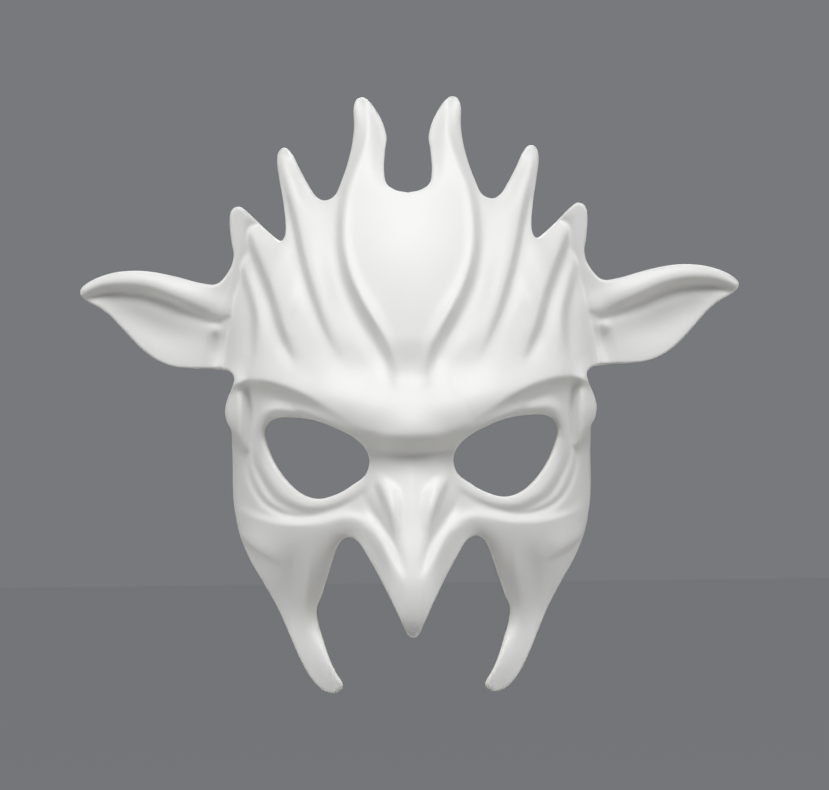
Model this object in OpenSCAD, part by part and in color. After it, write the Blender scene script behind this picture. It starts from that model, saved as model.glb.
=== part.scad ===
// Horned creature half mask: one cast shell with pads, press studs and an adjustable elastic head strap.
// Millimetres. The origin is the middle of the wearer's eye line, the face looks along -Y, +Z is up.
// Left and right are the wearer's, so left is on +X.

/* [Shell] */
// Width over both ear tips
shell_w = 280; // [270:1:290]
// Wall thickness of the casting, square to its surface
wall = 2.6; // [2.2:0.1:3]
// Height of the raised brow, beak, ridges and folds against the plain face
relief = 1; // [0.9:0.05:1.1]

/* [Pads] */
// Thickness of the foam pads
pad_t = 8; // [5:0.5:10]
// Adhesive gap behind a bonded piece
glue_gap = 0.3; // [0.2:0.1:0.5]

/* [Strap] */
// Width of the elastic
strap_w = 20; // [16:1:20]
// Thickness of the elastic
strap_t = 1.6; // [1.2:0.1:2]
// Thickness of the sewn end tabs
tab_t = 1.2; // [1:0.1:1.5]
// Straight run of elastic behind each stud before it curves round the head
straight_run = 60; // [56:1:75]
// Radius of the adjuster ring's wire
ring_wire_r = 1.1; // [1:0.1:1.3]

/* [Press studs] */
// Radius of the bosses bonded inside the temples
boss_r = 10; // [9:0.5:11]
// Radius of the socket
socket_r = 6; // [5:0.5:7]
// Radius of the stud's post
post_r = 2; // [1.8:0.1:2.2]

/* [Hidden] */

// All shell coordinates below are for a mask 280 mm wide, and are multiplied by this.
size = shell_w / 280;
// Spacing of the grid that the shell is formed on, before scaling
grid = 5;
// Depth on each side of the origin that holds the whole shell
through_half = 120;
running_gap = 0.05;
moving_gap = 0.3;

// Right half of the outline seen from the front, [x, z], from the crown down to the beak's tip
half_outline = [
    [0, 110], [5, 111], [9, 114], [10, 120], [9.5, 128], [9, 134], [11, 141], [15, 147.5], [18.5, 150.5],
    [21.5, 150], [23, 146], [23, 138], [24, 130], [26, 122], [28.5, 115], [31, 109.5], [35, 107.5],
    [39, 109.5], [42.5, 115], [46, 121.5], [49, 127.5], [52, 130.5], [54.8, 129], [55.5, 124],
    [54.5, 116], [53, 107], [52, 98], [52.3, 93], [54, 91], [57, 93], [62, 97.5], [67, 102.5],
    [71, 105.5], [74.5, 104], [75.4, 99], [74.8, 91], [74, 85], [76, 79], [81, 73.5], [88, 74],
    [98, 76.8], [108, 79], [117, 79.7], [126, 78.8], [134, 76.2], [139, 73], [140, 70], [137.5, 67.2],
    [132, 64.2], [127, 60.5], [121, 54], [114.5, 47], [108, 41.7], [101, 38.5], [92, 37.3], [82, 37.2],
    [77.5, 36.8], [74.6, 34], [75.4, 30], [77.6, 25], [78.8, 20], [78, 15], [76.3, 11.5], [76.4, 6],
    [76.3, 0], [76.4, -10], [76.2, -18], [75.2, -25], [73.4, -33], [69.2, -43], [63, -53.5],
    [57.3, -64], [53, -74], [48.5, -84.5], [44, -92.5], [39.5, -97.4], [34.5, -99.3], [30.8, -97.6],
    [30.3, -95], [33, -90.5], [35.8, -84.5], [38.5, -76.5], [40.4, -70], [40.8, -64], [38.5, -58],
    [34.8, -47], [31.8, -38.5], [29.5, -34.7], [26.3, -33.3], [23, -35], [19.5, -40.3], [13.8, -50.3],
    [8.6, -60.5], [4.6, -69], [2.4, -73.4], [0, -74.8]
];

// Eye opening on the same half
eye_outline = [
    [17.8, -1.5], [19.5, 3.3], [24, 7.8], [31, 11.6], [40, 15], [50, 16.4], [57, 16], [61, 13.2],
    [62.1, 9.6], [60.6, 3.6], [57.2, -3.3], [52, -10], [46, -15], [39, -17], [31, -14.8],
    [24.5, -11], [19.5, -7]
];

// Depth of the plain face on the centre line, [z, y]
profile = [
    [-120, 11], [-100, 2], [-75, -8], [-50, -16], [-25, -21], [0, -24], [25, -28], [50, -27],
    [80, -20], [110, -9], [135, 1], [160, 10]
];
// The plain face falls back from the centre line as this superellipse, which stops just short of its end
side_half = 83;
side_depth = 84;
side_power = 2.25;
side_stop = 0.985;
// The wall is never measured square to a surface steeper than this
steepest = 3;

// The ears' own sheet: x and y of its root, its fall outwards, its curl towards the tip, and its lean at a height
ear_root = [76, 22];
ear_fall = 0.12;
ear_curl = 0.0012;
ear_lean = 0.16;
ear_mid_z = 60;
// Under the ears the sheet drops behind the face
ear_foot_z = 38;
ear_foot_fade = 8;
ear_drop = 40;
// The ears show only outside this place, with a crease beside the face
ear_from_x = 60;
ear_crease = 6;

// Raised lines, [x, z, height, fade on the right of travel, fade on its left]
plate_edge = [
    [21, 148, 2.6, 3, 3], [18.5, 139, 3.6, 4, 3], [20, 129, 3.8, 6, 3], [23.5, 119, 4, 10, 2.8],
    [26.5, 109, 4, 14, 2.6], [27.6, 97, 4.2, 18, 2.4], [27.2, 87, 4.4, 18, 2.6], [25, 77, 4.8, 17, 2.8],
    [21, 67, 5, 14, 3], [15.6, 57, 5, 11, 3], [10.8, 48, 4, 8, 3], [7.8, 40, 2.4, 6, 3], [5.6, 31, 0.4, 4, 3]
];
second_flute = [
    [52.6, 129, 1.6, 3, 2.2], [50.2, 117, 2.4, 5, 2.6], [47.6, 106, 2.6, 6, 2.6], [43.6, 87, 2.8, 7, 2.6],
    [38.2, 67, 2.6, 6, 2.6], [35, 58, 2, 5, 2.6], [31, 49, 1.2, 5, 2.6], [27, 42, 0.2, 5, 2.6]
];
third_flute = [
    [71.6, 104, 1.6, 3, 2.4], [67.2, 95, 2.4, 4, 2.6], [63, 86, 2.8, 6, 2.6], [59, 76, 2.8, 6, 2.6],
    [55.6, 66, 2.6, 6, 2.6], [53, 57, 2.2, 5, 2.6], [49.6, 48, 1.4, 5, 2.6], [46, 40, 0.3, 5, 2.6]
];
ear_root_flute = [
    [71, 82, 1, 4, 2.4], [68, 74, 1.8, 4, 2.4], [65, 66, 2.2, 4, 2.4], [63.6, 55, 2, 4, 2.4],
    [65, 42, 0.6, 4, 2.4]
];
brow_roll = [
    [77, 30, 2.4, 8, 3], [70, 32, 5, 9, 3], [62, 32.4, 7.2, 9, 3], [54, 31, 8, 10, 3.6],
    [48, 29.4, 8.8, 11, 4], [40, 25.2, 9.4, 14, 5], [32, 20, 9.6, 16, 5.6], [23, 14.6, 10.2, 18, 6],
    [12, 11, 11, 20, 6], [0, 10.2, 11.4, 22, 6]
];
brow_lobe = [
    [76, 32, 2, 5, 5], [79, 22, 9, 7, 6], [78.5, 14, 9, 6, 5], [73, 8, 4.5, 4, 3.4], [70, 4, 0.8, 3, 3]
];
eye_lid = [
    [64.4, 6, 0.6, 2.5, 3], [64, 13, 2.6, 3, 3], [58.5, 20, 4, 3, 3.4], [48, 19.6, 4.4, 3, 3.2],
    [39, 16.4, 4, 3, 3], [31, 12, 2.6, 3, 3], [24, 8, 1, 3, 3]
];
cheek_ridge = [
    [76, -22, 0.5, 4, 11], [66, -25.6, 2, 3, 14], [54, -28, 3.2, 3, 15], [42, -27.6, 3.4, 3, 14],
    [32, -25.6, 3, 3, 10], [23, -26, 2.4, 3.4, 7], [15.5, -31, 2.6, 3, 5], [6.8, -46, 1.4, 2.4, 4],
    [4.4, -53, 0.3, 2.4, 4]
];
beak = [
    [0, 5, 3, 12, 12], [0, -6, 5.6, 13, 13], [0, -16, 9, 14, 14], [0, -28, 14.4, 15, 15],
    [0, -40, 20.6, 17, 17], [0, -52, 26, 18, 18], [0, -62, 28.4, 18, 18], [0, -70, 27.4, 17, 17],
    [0, -78, 21, 15, 15], [0, -84, 13, 14, 14]
];
flap_roll = [
    [27.6, -32, -0.8, 3, 2.6], [31.4, -40, -5, 3, 3], [34.2, -49, -8, 3, 3.4], [39.2, -64, -9.6, 3, 4],
    [38.8, -71, -8, 3, 4], [36, -79, -4.6, 3, 3.6], [30, -93, -0.3, 3, 3]
];
// Each line with how square its flanks are, 2 being a bell shape
face_lines = [[2, plate_edge], [2, second_flute], [2, third_flute], [2, ear_root_flute], [2, brow_roll],
              [2, brow_lobe], [2, eye_lid], [2, cheek_ridge], [3, beak], [1.15, flap_roll]];

ear_rim = [
    [141, 69.5, 1.4, 3, 3], [136, 72, 2.8, 3.4, 3.4], [128, 75, 4, 4, 4], [118, 75.8, 4.6, 4, 4.2],
    [108, 74.8, 4.8, 4, 4.4], [98, 71.4, 4.8, 4.4, 4.6], [90, 68, 3.8, 5, 5], [82, 64.5, 2, 5, 5]
];
ear_bowl = [
    [90, 50, -1.4, 9, 9], [104, 54, -3, 9, 9], [116, 60, -2.8, 8, 7], [126, 65.5, -1.4, 5, 5]
];
ear_lines = [[2, ear_rim], [2, ear_bowl]];

// Rounded lump or hollow: centre x, z, height, half width across and along, degrees turned
cheek_hollow = [51, -67, -7.5, 20, 25, 25];
eye_hollow = [38, 2, -4, 24, 13, 10];

// Where the studs sit: the inner face of each boss, and the stud's axis
boss_x = 66 * size;
stud_y = 21 * size;
stud_z = 48 * size;
boss_len = 11 * size;

// Stack along X from the boss face inwards: stud flange, socket, tab, elastic, cap
flange_t = 1;
flange_r = post_r + 3;
throat_len = 1.1;
socket_t = 2.8;
cap_t = 1.2;
shank_r = 1.5;
flange_in = boss_x - flange_t;
socket_out = flange_in - moving_gap;
socket_in = socket_out - socket_t;
tab_in = socket_in - tab_t;
strap_in = tab_in - strap_t;
post_in = socket_in + moving_gap;
bulb_r = post_r + 0.5;
bulb_len = 1;

// Adjuster ring: the tab wraps its front bar and the elastic wraps its rear bar
ring_x = socket_in - tab_t - 2 * running_gap - ring_wire_r;
ring_front_y = stud_y + 16;
ring_rear_y = ring_front_y + 8;
ring_half_h = strap_w / 2 + 1.5;
ring_loop_r = ring_wire_r + 2 * running_gap;
layer_offset = ring_loop_r + strap_t / 2;

// The elastic's route: left run, half circle behind the head, right run
left_run_x = tab_in - strap_t / 2;
right_run_x = ring_x - layer_offset;
arc_r = (left_run_x + right_run_x) / 2;
arc_x = (left_run_x - right_run_x) / 2;
arc_y = stud_y + straight_run;
tab_end = socket_r + 4;
left_tab_overlap = 8;

// Slider
slider_len = 10;
slider_wall = 1.4;
slider_y = stud_y + 42;
return_end_y = arc_y - 2;

shell_white = [0.93, 0.93, 0.92];
foam_grey = [0.25, 0.25, 0.27];
strap_black = [0.08, 0.08, 0.09];
tab_black = [0.12, 0.12, 0.12];
nickel = [0.75, 0.75, 0.73];

// ---- Curves ----
function spline(a, b, c, d, t) =
    0.5 * (2 * b + (c - a) * t + (2 * a - 5 * b + 4 * c - d) * t * t + (3 * b - a - 3 * c + d) * t * t * t);

// Smooth curve through points; a closed one comes back to its start
function smooth_curve(p, per, closed) =
    let (n = len(p), last = closed ? n : n - 1)
    concat(
        [for (i = [0:last - 1], k = [0:per - 1])
            spline(p[closed ? (i + n - 1) % n : max(i - 1, 0)], p[i], p[(i + 1) % n],
                   p[closed ? (i + 2) % n : min(i + 2, n - 1)], k / per)],
        closed ? [] : [p[n - 1]]);

function mirrored(p) = [for (i = [len(p) - 1:-1:0]) [-p[i][0], p[i][1]]];
function inner_points(p) = [for (i = [1:len(p) - 2]) p[i]];

// ---- Form of the shell: y at a place x, z on the front, where y falls towards the viewer ----
function fade(t) = let (c = min(max(t, 0), 1)) c * c * (3 - 2 * c);

// Nearest place on one stretch of a raised line: [squared distance, height there]
function stretch(x, z, a, b, flank) =
    let (d = [b[0] - a[0], b[1] - a[1]],
         t = min(max(((x - a[0]) * d[0] + (z - a[1]) * d[1]) / (d * d), 0), 1),
         p = a + (b - a) * t,
         e = [x - p[0], z - p[1]],
         r2 = e * e,
         left = d[0] * e[1] - d[1] * e[0],
         k = 0.5 + 0.5 * left / (norm(d) * (sqrt(r2) + 0.001)),
         w = p[3] + (p[4] - p[3]) * min(max(k, 0), 1))
    [r2, p[2] * exp(-pow(r2 / (w * w), flank / 2))];

function nearest(list, i = 1, best = undef) =
    i > len(list) ? best[1] :
    nearest(list, i + 1, best == undef || list[i - 1][0] < best[0] ? list[i - 1] : best);

function line_height(x, z, line) =
    let (flank = line[0], p = line[1])
    nearest([for (i = [0:len(p) - 2]) stretch(x, z, p[i], p[i + 1], flank)]);

function lines_height(x, z, lines) =
    let (each_height = [for (line = lines) line_height(x, z, line)])
    each_height * [for (h = each_height) 1];

function lump_height(x, z, lump) =
    let (d = [x - lump[0], z - lump[1]],
         u = d * [cos(lump[5]), sin(lump[5])],
         v = d * [-sin(lump[5]), cos(lump[5])])
    lump[2] * exp(-pow(u / lump[3], 2) - pow(v / lump[4], 2));

function plain_face(x, z) =
    side_depth * (1 - sqrt(1 - pow(min(x / side_half, side_stop), side_power))) + lookup(z, profile);

function ear(x, z) =
    let (out = x - ear_root[0])
    ear_root[1] + ear_fall * out + ear_curl * pow(max(out, 0), 2) + ear_lean * (ear_mid_z - z)
    + ear_drop * fade((ear_foot_z - z) / ear_foot_fade);

// Smaller of two depths with a shallow crease where they meet
function blend_front(a, b, r) =
    let (h = max(r - abs(a - b), 0) / r) min(a, b) + h * h * r / 5;

function front_y(x, z) =
    let (lines = lines_height(x, z, face_lines),
         lumps = lump_height(x, z, cheek_hollow) + lump_height(x, z, eye_hollow),
         face = plain_face(x, z) - relief * (lines + lumps))
    x < ear_from_x ? face :
    blend_front(face, ear(x, z) - relief * lines_height(x, z, ear_lines), ear_crease);

// Grid columns and rows needed to cover a box of the front view
function columns(x0, x1) = [for (x = [x0:grid:x1]) x];

// Front depths on a grid, [column][row]
function front_grid(xs, zs) = [for (x = xs) [for (z = zs) front_y(abs(x), z)]];

// Depth through the wall: the wall thickness stretched by how steeply the surface falls away
function slope_at(f, i, j) =
    let (n = len(f) - 1, m = len(f[0]) - 1,
         fx = (f[min(i + 1, n)][j] - f[max(i - 1, 0)][j]) / (grid * (min(i + 1, n) - max(i - 1, 0))),
         fz = (f[i][min(j + 1, m)] - f[i][max(j - 1, 0)]) / (grid * (min(j + 1, m) - max(j - 1, 0))))
    sqrt(1 + fx * fx + fz * fz);
function back_grid(f) =
    [for (i = [0:len(f) - 1]) [for (j = [0:len(f[0]) - 1]) f[i][j] + wall * min(slope_at(f, i, j), steepest)]];
function moved_grid(f, dy) = [for (column = f) [for (y = column) y + dy]];
function flat_grid(f, y) = [for (column = f) [for (old = column) y]];

// Closed solid between two depth grids
module between(xs, zs, front, back) {
    n = len(xs);
    m = len(zs);
    points = concat(
        [for (i = [0:n - 1], j = [0:m - 1]) [xs[i], front[i][j], zs[j]]],
        [for (i = [0:n - 1], j = [0:m - 1]) [xs[i], back[i][j], zs[j]]]);
    back_at = n * m;
    rim = concat(
        [for (j = [0:m - 2]) j],
        [for (i = [0:n - 2]) i * m + m - 1],
        [for (j = [m - 1:-1:1]) (n - 1) * m + j],
        [for (i = [n - 1:-1:1]) i * m]);
    // Each cell's four corners start at the corner nearest the middle plane's foot, so both sides split alike
    cells = [for (i = [0:n - 2], j = [0:m - 2]) let (a = i * m + j)
        xs[i] < 0 ? [a + m, a, a + 1, a + m + 1] : [a, a + 1, a + m + 1, a + m]];
    faces = concat(
        [for (c = cells) [c[0], c[1], c[2]]],
        [for (c = cells) [c[0], c[2], c[3]]],
        [for (c = cells) [back_at + c[0], back_at + c[2], back_at + c[1]]],
        [for (c = cells) [back_at + c[0], back_at + c[3], back_at + c[2]]],
        [for (k = [0:len(rim) - 1]) let (p = rim[k], q = rim[(k + 1) % len(rim)]) [p, p + back_at, q + back_at]],
        [for (k = [0:len(rim) - 1]) let (p = rim[k], q = rim[(k + 1) % len(rim)]) [p, q + back_at, q]]);
    scale(size) polyhedron(points, faces);
}

// Outline seen from the front, pushed through the whole depth
module through_y(points) {
    scale(size) rotate([90, 0, 0]) linear_extrude(height = 2 * through_half, center = true) polygon(points);
}

// ---- Shell ----
module mask_shell() {
    half = smooth_curve(half_outline, 2, false);
    outline = concat(half, inner_points(mirrored(half)));
    eye = smooth_curve(eye_outline, 2, true);
    xs = columns(-145, 145);
    zs = columns(-105, 155);
    half_front = front_grid(columns(0, 145), zs);
    middle = (len(xs) - 1) / 2;
    front = [for (i = [0:len(xs) - 1]) half_front[abs(i - middle)]];
    color(shell_white) resize([shell_w, 0, 0]) intersection() {
        between(xs, zs, front, back_grid(front));
        difference() {
            through_y(outline);
            through_y(eye);
            through_y(mirrored(eye));
        }
    }
}

// ---- Pads: foam blocks that follow the inside of the shell ----
// One grid step more on each side gives the wall its true thickness at the pad's edge.
function inset_grid(f) = [for (i = [1:len(f) - 2]) [for (j = [1:len(f[0]) - 2]) f[i][j]]];
module pad(x0, x1, z0, z1) {
    xs = columns(x0, x1);
    zs = columns(z0, z1);
    wide = front_grid(columns(x0 - grid, x1 + grid), columns(z0 - grid, z1 + grid));
    inside = moved_grid(inset_grid(back_grid(wide)), glue_gap);
    color(foam_grey) between(xs, zs, inside, moved_grid(inside, pad_t));
}
module brow_pad() { pad(-35, 35, 40, 60); }
module bridge_pad() { pad(-10, 10, -10, 5); }
module left_cheek_pad() { pad(45, 65, -45, -25); }
module right_cheek_pad() { pad(-65, -45, -45, -25); }

// ---- Press studs ----
// A round boss with a flat face towards the head, its outer side following the temple wall
module stud_boss(side) {
    x0 = 55;
    x1 = 85;
    z0 = 30;
    z1 = 65;
    xs = columns(x0, x1);
    zs = columns(z0, z1);
    wide = front_grid(columns(x0 - grid, x1 + grid), columns(z0 - grid, z1 + grid));
    inside = moved_grid(inset_grid(back_grid(wide)), glue_gap);
    color(tab_black) mirror([side < 0 ? 1 : 0, 0, 0]) intersection() {
        between(xs, zs, inside, flat_grid(inside, 60));
        translate([boss_x, stud_y, stud_z]) rotate([0, 90, 0]) cylinder(r = boss_r, h = boss_len, $fn = 64);
    }
}
module left_stud_boss() { stud_boss(1); }
module right_stud_boss() { stud_boss(-1); }

// Round piece along X between two places on one side of the head
module round_x(side, x0, x1, r) {
    translate([side > 0 ? x0 : -x1, stud_y, stud_z]) rotate([0, 90, 0]) cylinder(r = r, h = x1 - x0, $fn = 64);
}

module stud(side) {
    color(nickel) union() {
        round_x(side, flange_in, boss_x, flange_r);
        round_x(side, post_in, flange_in, post_r);
        round_x(side, post_in, post_in + bulb_len, bulb_r);
    }
}
module left_stud() { stud(1); }
module right_stud() { stud(-1); }

module socket(side) {
    throat = socket_out - throat_len;
    color(nickel) difference() {
        round_x(side, socket_in, socket_out, socket_r);
        round_x(side, socket_in - 1, socket_out + 1, post_r + running_gap);
        round_x(side, socket_in - 1, throat, bulb_r + moving_gap);
    }
}
module left_socket() { socket(1); }
module right_socket() { socket(-1); }

// Cap and the shank that clamps the strap's end to the socket
module cap(side, clamp_in) {
    color(nickel) union() {
        round_x(side, clamp_in - cap_t, clamp_in, socket_r);
        round_x(side, clamp_in, socket_in, shank_r);
    }
}
module left_cap() { cap(1, strap_in); }
module right_cap() { cap(-1, tab_in); }

// ---- Strap ----
// Flat length of webbing on one side, between two distances from the middle plane
module run(side, x0, x1, y0, y1) {
    translate([side > 0 ? x0 : -x1, y0, stud_z - strap_w / 2]) cube([x1 - x0, y1 - y0, strap_w]);
}
module shank_hole(side) {
    round_x(side, strap_in - 5, boss_x, shank_r + running_gap);
}
module left_tab() {
    color(tab_black) difference() {
        run(1, tab_in, socket_in, stud_y - tab_end, stud_y + tab_end + left_tab_overlap);
        shank_hole(1);
    }
}

// The right tab is folded round the ring's front bar
module right_tab() {
    color(tab_black) difference() {
        union() {
            run(-1, tab_in, socket_in, stud_y - tab_end, ring_front_y);
            translate([-ring_x, ring_front_y, stud_z - strap_w / 2])
                cylinder(r = ring_loop_r + tab_t, h = strap_w, $fn = 48);
        }
        shank_hole(-1);
        translate([-ring_x, ring_front_y, stud_z - strap_w])
            cylinder(r = ring_loop_r, h = 2 * strap_w, $fn = 48);
    }
}

// Rectangular wire ring, flat against the head
module adjuster_ring() {
    color(nickel) translate([-ring_x, 0, stud_z]) union() {
        for (y = [ring_front_y, ring_rear_y])
            translate([0, y, -ring_half_h]) cylinder(r = ring_wire_r, h = 2 * ring_half_h, $fn = 32);
        for (z = [-ring_half_h, ring_half_h])
            translate([0, ring_front_y, z]) rotate([-90, 0, 0])
                cylinder(r = ring_wire_r, h = ring_rear_y - ring_front_y, $fn = 32);
        for (y = [ring_front_y, ring_rear_y], z = [-ring_half_h, ring_half_h])
            translate([0, y, z]) sphere(r = ring_wire_r, $fn = 32);
    }
}

module elastic_strap() {
    half_t = strap_t / 2;
    color(strap_black) difference() {
        union() {
            run(1, left_run_x - half_t, left_run_x + half_t, stud_y - tab_end, arc_y);
            translate([arc_x, arc_y, stud_z]) rotate_extrude(angle = 180, $fn = 96)
                translate([arc_r - half_t, -strap_w / 2]) square([strap_t, strap_w]);
            run(-1, right_run_x - half_t, right_run_x + half_t, ring_rear_y, arc_y);
            run(-1, ring_x + ring_loop_r, ring_x + ring_loop_r + strap_t, ring_rear_y, return_end_y);
            difference() {
                translate([-ring_x, ring_rear_y, stud_z - strap_w / 2])
                    cylinder(r = ring_loop_r + strap_t, h = strap_w, $fn = 48);
                translate([-ring_x - strap_w, ring_rear_y, stud_z - strap_w])
                    cube([2 * strap_w, strap_w, 2 * strap_w]);
            }
        }
        shank_hole(1);
        translate([-ring_x, ring_rear_y, stud_z - strap_w])
            cylinder(r = ring_loop_r, h = 2 * strap_w, $fn = 48);
    }
}

// Two-slot slide: the running strap goes through one slot and its doubled end through the other
module strap_slider() {
    half_t = strap_t / 2 + moving_gap;
    slot_h = strap_w + 2 * moving_gap;
    inner_layer = right_run_x;
    outer_layer = ring_x + layer_offset;
    x0 = inner_layer - half_t - slider_wall;
    x1 = outer_layer + half_t + slider_wall;
    color(tab_black) difference() {
        translate([-x1, slider_y - slider_len / 2, stud_z - slot_h / 2 - slider_wall])
            cube([x1 - x0, slider_len, slot_h + 2 * slider_wall]);
        for (x = [inner_layer, outer_layer])
            translate([-x - half_t, slider_y - slider_len, stud_z - slot_h / 2])
                cube([2 * half_t, 2 * slider_len, slot_h]);
    }
}

mask_shell();
brow_pad();
bridge_pad();
left_cheek_pad();
right_cheek_pad();
left_stud_boss();
right_stud_boss();
left_stud();
right_stud();
left_socket();
right_socket();
left_cap();
right_cap();
left_tab();
right_tab();
adjuster_ring();
elastic_strap();
strap_slider();
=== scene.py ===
# Horned creature half mask: white cast shell, foam pads and an elastic head strap on press studs.
# Lengths in the dictionaries are millimetres, and mm turns them to metres.
import math

import bmesh
import bpy
import numpy as np
from mathutils import Matrix, Vector, kdtree
from mathutils.geometry import delaunay_2d_cdt


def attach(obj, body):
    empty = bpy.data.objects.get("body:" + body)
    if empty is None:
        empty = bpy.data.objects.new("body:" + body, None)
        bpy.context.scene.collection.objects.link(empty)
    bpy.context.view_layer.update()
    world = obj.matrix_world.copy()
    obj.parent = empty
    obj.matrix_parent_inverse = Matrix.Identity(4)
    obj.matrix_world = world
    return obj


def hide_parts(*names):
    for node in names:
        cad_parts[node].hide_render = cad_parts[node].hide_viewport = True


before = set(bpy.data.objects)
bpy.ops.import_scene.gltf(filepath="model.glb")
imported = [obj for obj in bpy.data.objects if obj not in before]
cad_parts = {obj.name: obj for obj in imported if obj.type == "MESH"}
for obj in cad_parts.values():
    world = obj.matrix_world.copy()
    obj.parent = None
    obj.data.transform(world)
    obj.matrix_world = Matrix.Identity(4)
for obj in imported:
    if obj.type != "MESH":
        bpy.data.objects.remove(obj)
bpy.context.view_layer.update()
mm = 0.001
scene = bpy.context.scene
print("frame loaded:", len(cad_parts), "CAD nodes")

studio = {
    "lens": 200,              # long lens from about two metres
    "sensor": 36,
    "frameWidth": 348,        # how much is seen across, at the mask
    "aim": (1.6, 12, 25.6),   # what the camera looks at
    "roll": 0.69,             # degrees, the mask hangs a touch anticlockwise
    "floorColour": "#B4B3B0",
    "floorDrop": 420,         # from the eye line down to the floor
    "floorHalf": 9000,
    "worldColour": "#8A8B8D",
    "worldStrength": 0.1,
    "backdropColour": "#77797C",  # what the camera sees past the floor
    "farFloorColour": "#7B7D80",
    "farShare": 0.85,         # how much of the floor the camera sees in that colour
    "lightAim": (0, 0, 0.03),
    # softboxes, in metres: place, width and height, watts, spread in degrees
    "lights": {
        "keyLight": ((0, -1.2, 1.35), (1.5, 0.8), 8.5, 90),
        "leftLight": ((-1.5, -0.5, 0.5), (0.8, 1.3), 8, 180),
        "rightLight": ((1.5, -0.5, 0.5), (0.8, 1.3), 8, 180),
        "frontLight": ((0, -2.4, 0.4), (1.2, 0.8), 1.2, 180),
        "backLight": ((0, 1.7, 1), (1.6, 0.9), 30, 180),
    },
}


def linear(hexColour):
    rgb = [int(hexColour[i:i + 2], 16) / 255 for i in (1, 3, 5)]
    return [c / 12.92 if c <= 0.04045 else ((c + 0.055) / 1.055) ** 2.4 for c in rgb] + [1.0]


def newMaterial(name):
    # a material, its tree and its Object coordinates
    mat = bpy.data.materials.new(name)
    mat.use_nodes = True
    tree = mat.node_tree
    tree.nodes.clear()
    return mat, tree, addNode(tree, "ShaderNodeTexCoord").outputs["Object"]


def addNode(tree, kind, settings=None, links=None):
    # settings fill properties or input sockets, links join inputs to another node's outputs
    node = tree.nodes.new(kind)
    for key, value in (settings or {}).items():
        if isinstance(key, str) and hasattr(node, key):
            setattr(node, key, value)
        else:
            node.inputs[key].default_value = value
    for key, source in (links or {}).items():
        tree.links.new(source, node.inputs[key])
    return node


def endMaterial(tree, settings, links):
    shader = addNode(tree, "ShaderNodeBsdfPrincipled", settings, links)
    addNode(tree, "ShaderNodeOutputMaterial", None, {"Surface": shader.outputs[0]})


def grainedMaterial(name, hexColour, grain, detail, rough, bump, deep, settings):
    # one colour, whose fine grain changes its roughness and stands up a little, with grain and deep in mm
    mat, tree, place = newMaterial(name)
    noise = addNode(tree, "ShaderNodeTexNoise", {"Scale": 1 / (grain * mm), "Detail": detail}, {"Vector": place})
    shine = addNode(tree, "ShaderNodeMapRange", {"To Min": rough[0], "To Max": rough[1]},
                    {"Value": noise.outputs["Fac"]})
    tooth = addNode(tree, "ShaderNodeBump", {"Strength": bump, "Distance": deep * mm},
                    {"Height": noise.outputs["Fac"]})
    endMaterial(tree, {"Base Color": linear(hexColour), **settings},
                {"Roughness": shine.outputs[0], "Normal": tooth.outputs[0]})
    return mat


def makeMesh(name, points, faces, mat=None, edges=()):
    mesh = bpy.data.meshes.new(name)
    mesh.from_pydata([tuple(p) for p in np.asarray(points) * mm], edges,
                     [tuple(int(i) for i in face) for face in faces])
    if mat:
        mesh.materials.append(mat)
    shadeSmooth(mesh)
    obj = bpy.data.objects.new(name, mesh)
    scene.collection.objects.link(obj)
    return obj


def shadeSmooth(mesh):
    mesh.polygons.foreach_set("use_smooth", [True] * len(mesh.polygons))


def gridFaces(rows, across, closedRows=True, closedAcross=True, first=0):
    # four-sided faces between neighbouring rows of points
    return [(first + k * across + i, first + k * across + (i + 1) % across,
             first + (k + 1) % rows * across + (i + 1) % across, first + (k + 1) % rows * across + i)
            for k in range(rows if closedRows else rows - 1) for i in range(across if closedAcross else across - 1)]


def addCamera():
    data = bpy.data.cameras.new("camera")
    data.lens, data.sensor_width = studio["lens"], studio["sensor"]
    distance = studio["frameWidth"] * studio["lens"] / studio["sensor"]
    data.clip_end = 50
    cam = bpy.data.objects.new("camera", data)
    x, y, z = studio["aim"]
    cam.matrix_world = (Matrix.Translation(Vector((x, y - distance, z)) * mm)
                        @ Matrix.Rotation(math.radians(studio["roll"]), 4, "Y")
                        @ Matrix.Rotation(math.radians(90), 4, "X"))
    scene.collection.objects.link(cam)
    scene.camera = cam


def addSoftbox(name, place, size, watts, spread):
    data = bpy.data.lights.new(name, "AREA")
    data.shape = "RECTANGLE"
    data.size, data.size_y = size
    data.energy, data.spread = watts, math.radians(spread)
    lamp = bpy.data.objects.new(name, data)
    turn = (Vector(studio["lightAim"]) - Vector(place)).to_track_quat("-Z", "Y")
    lamp.matrix_world = Matrix.Translation(place) @ turn.to_matrix().to_4x4()
    scene.collection.objects.link(lamp)


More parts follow.
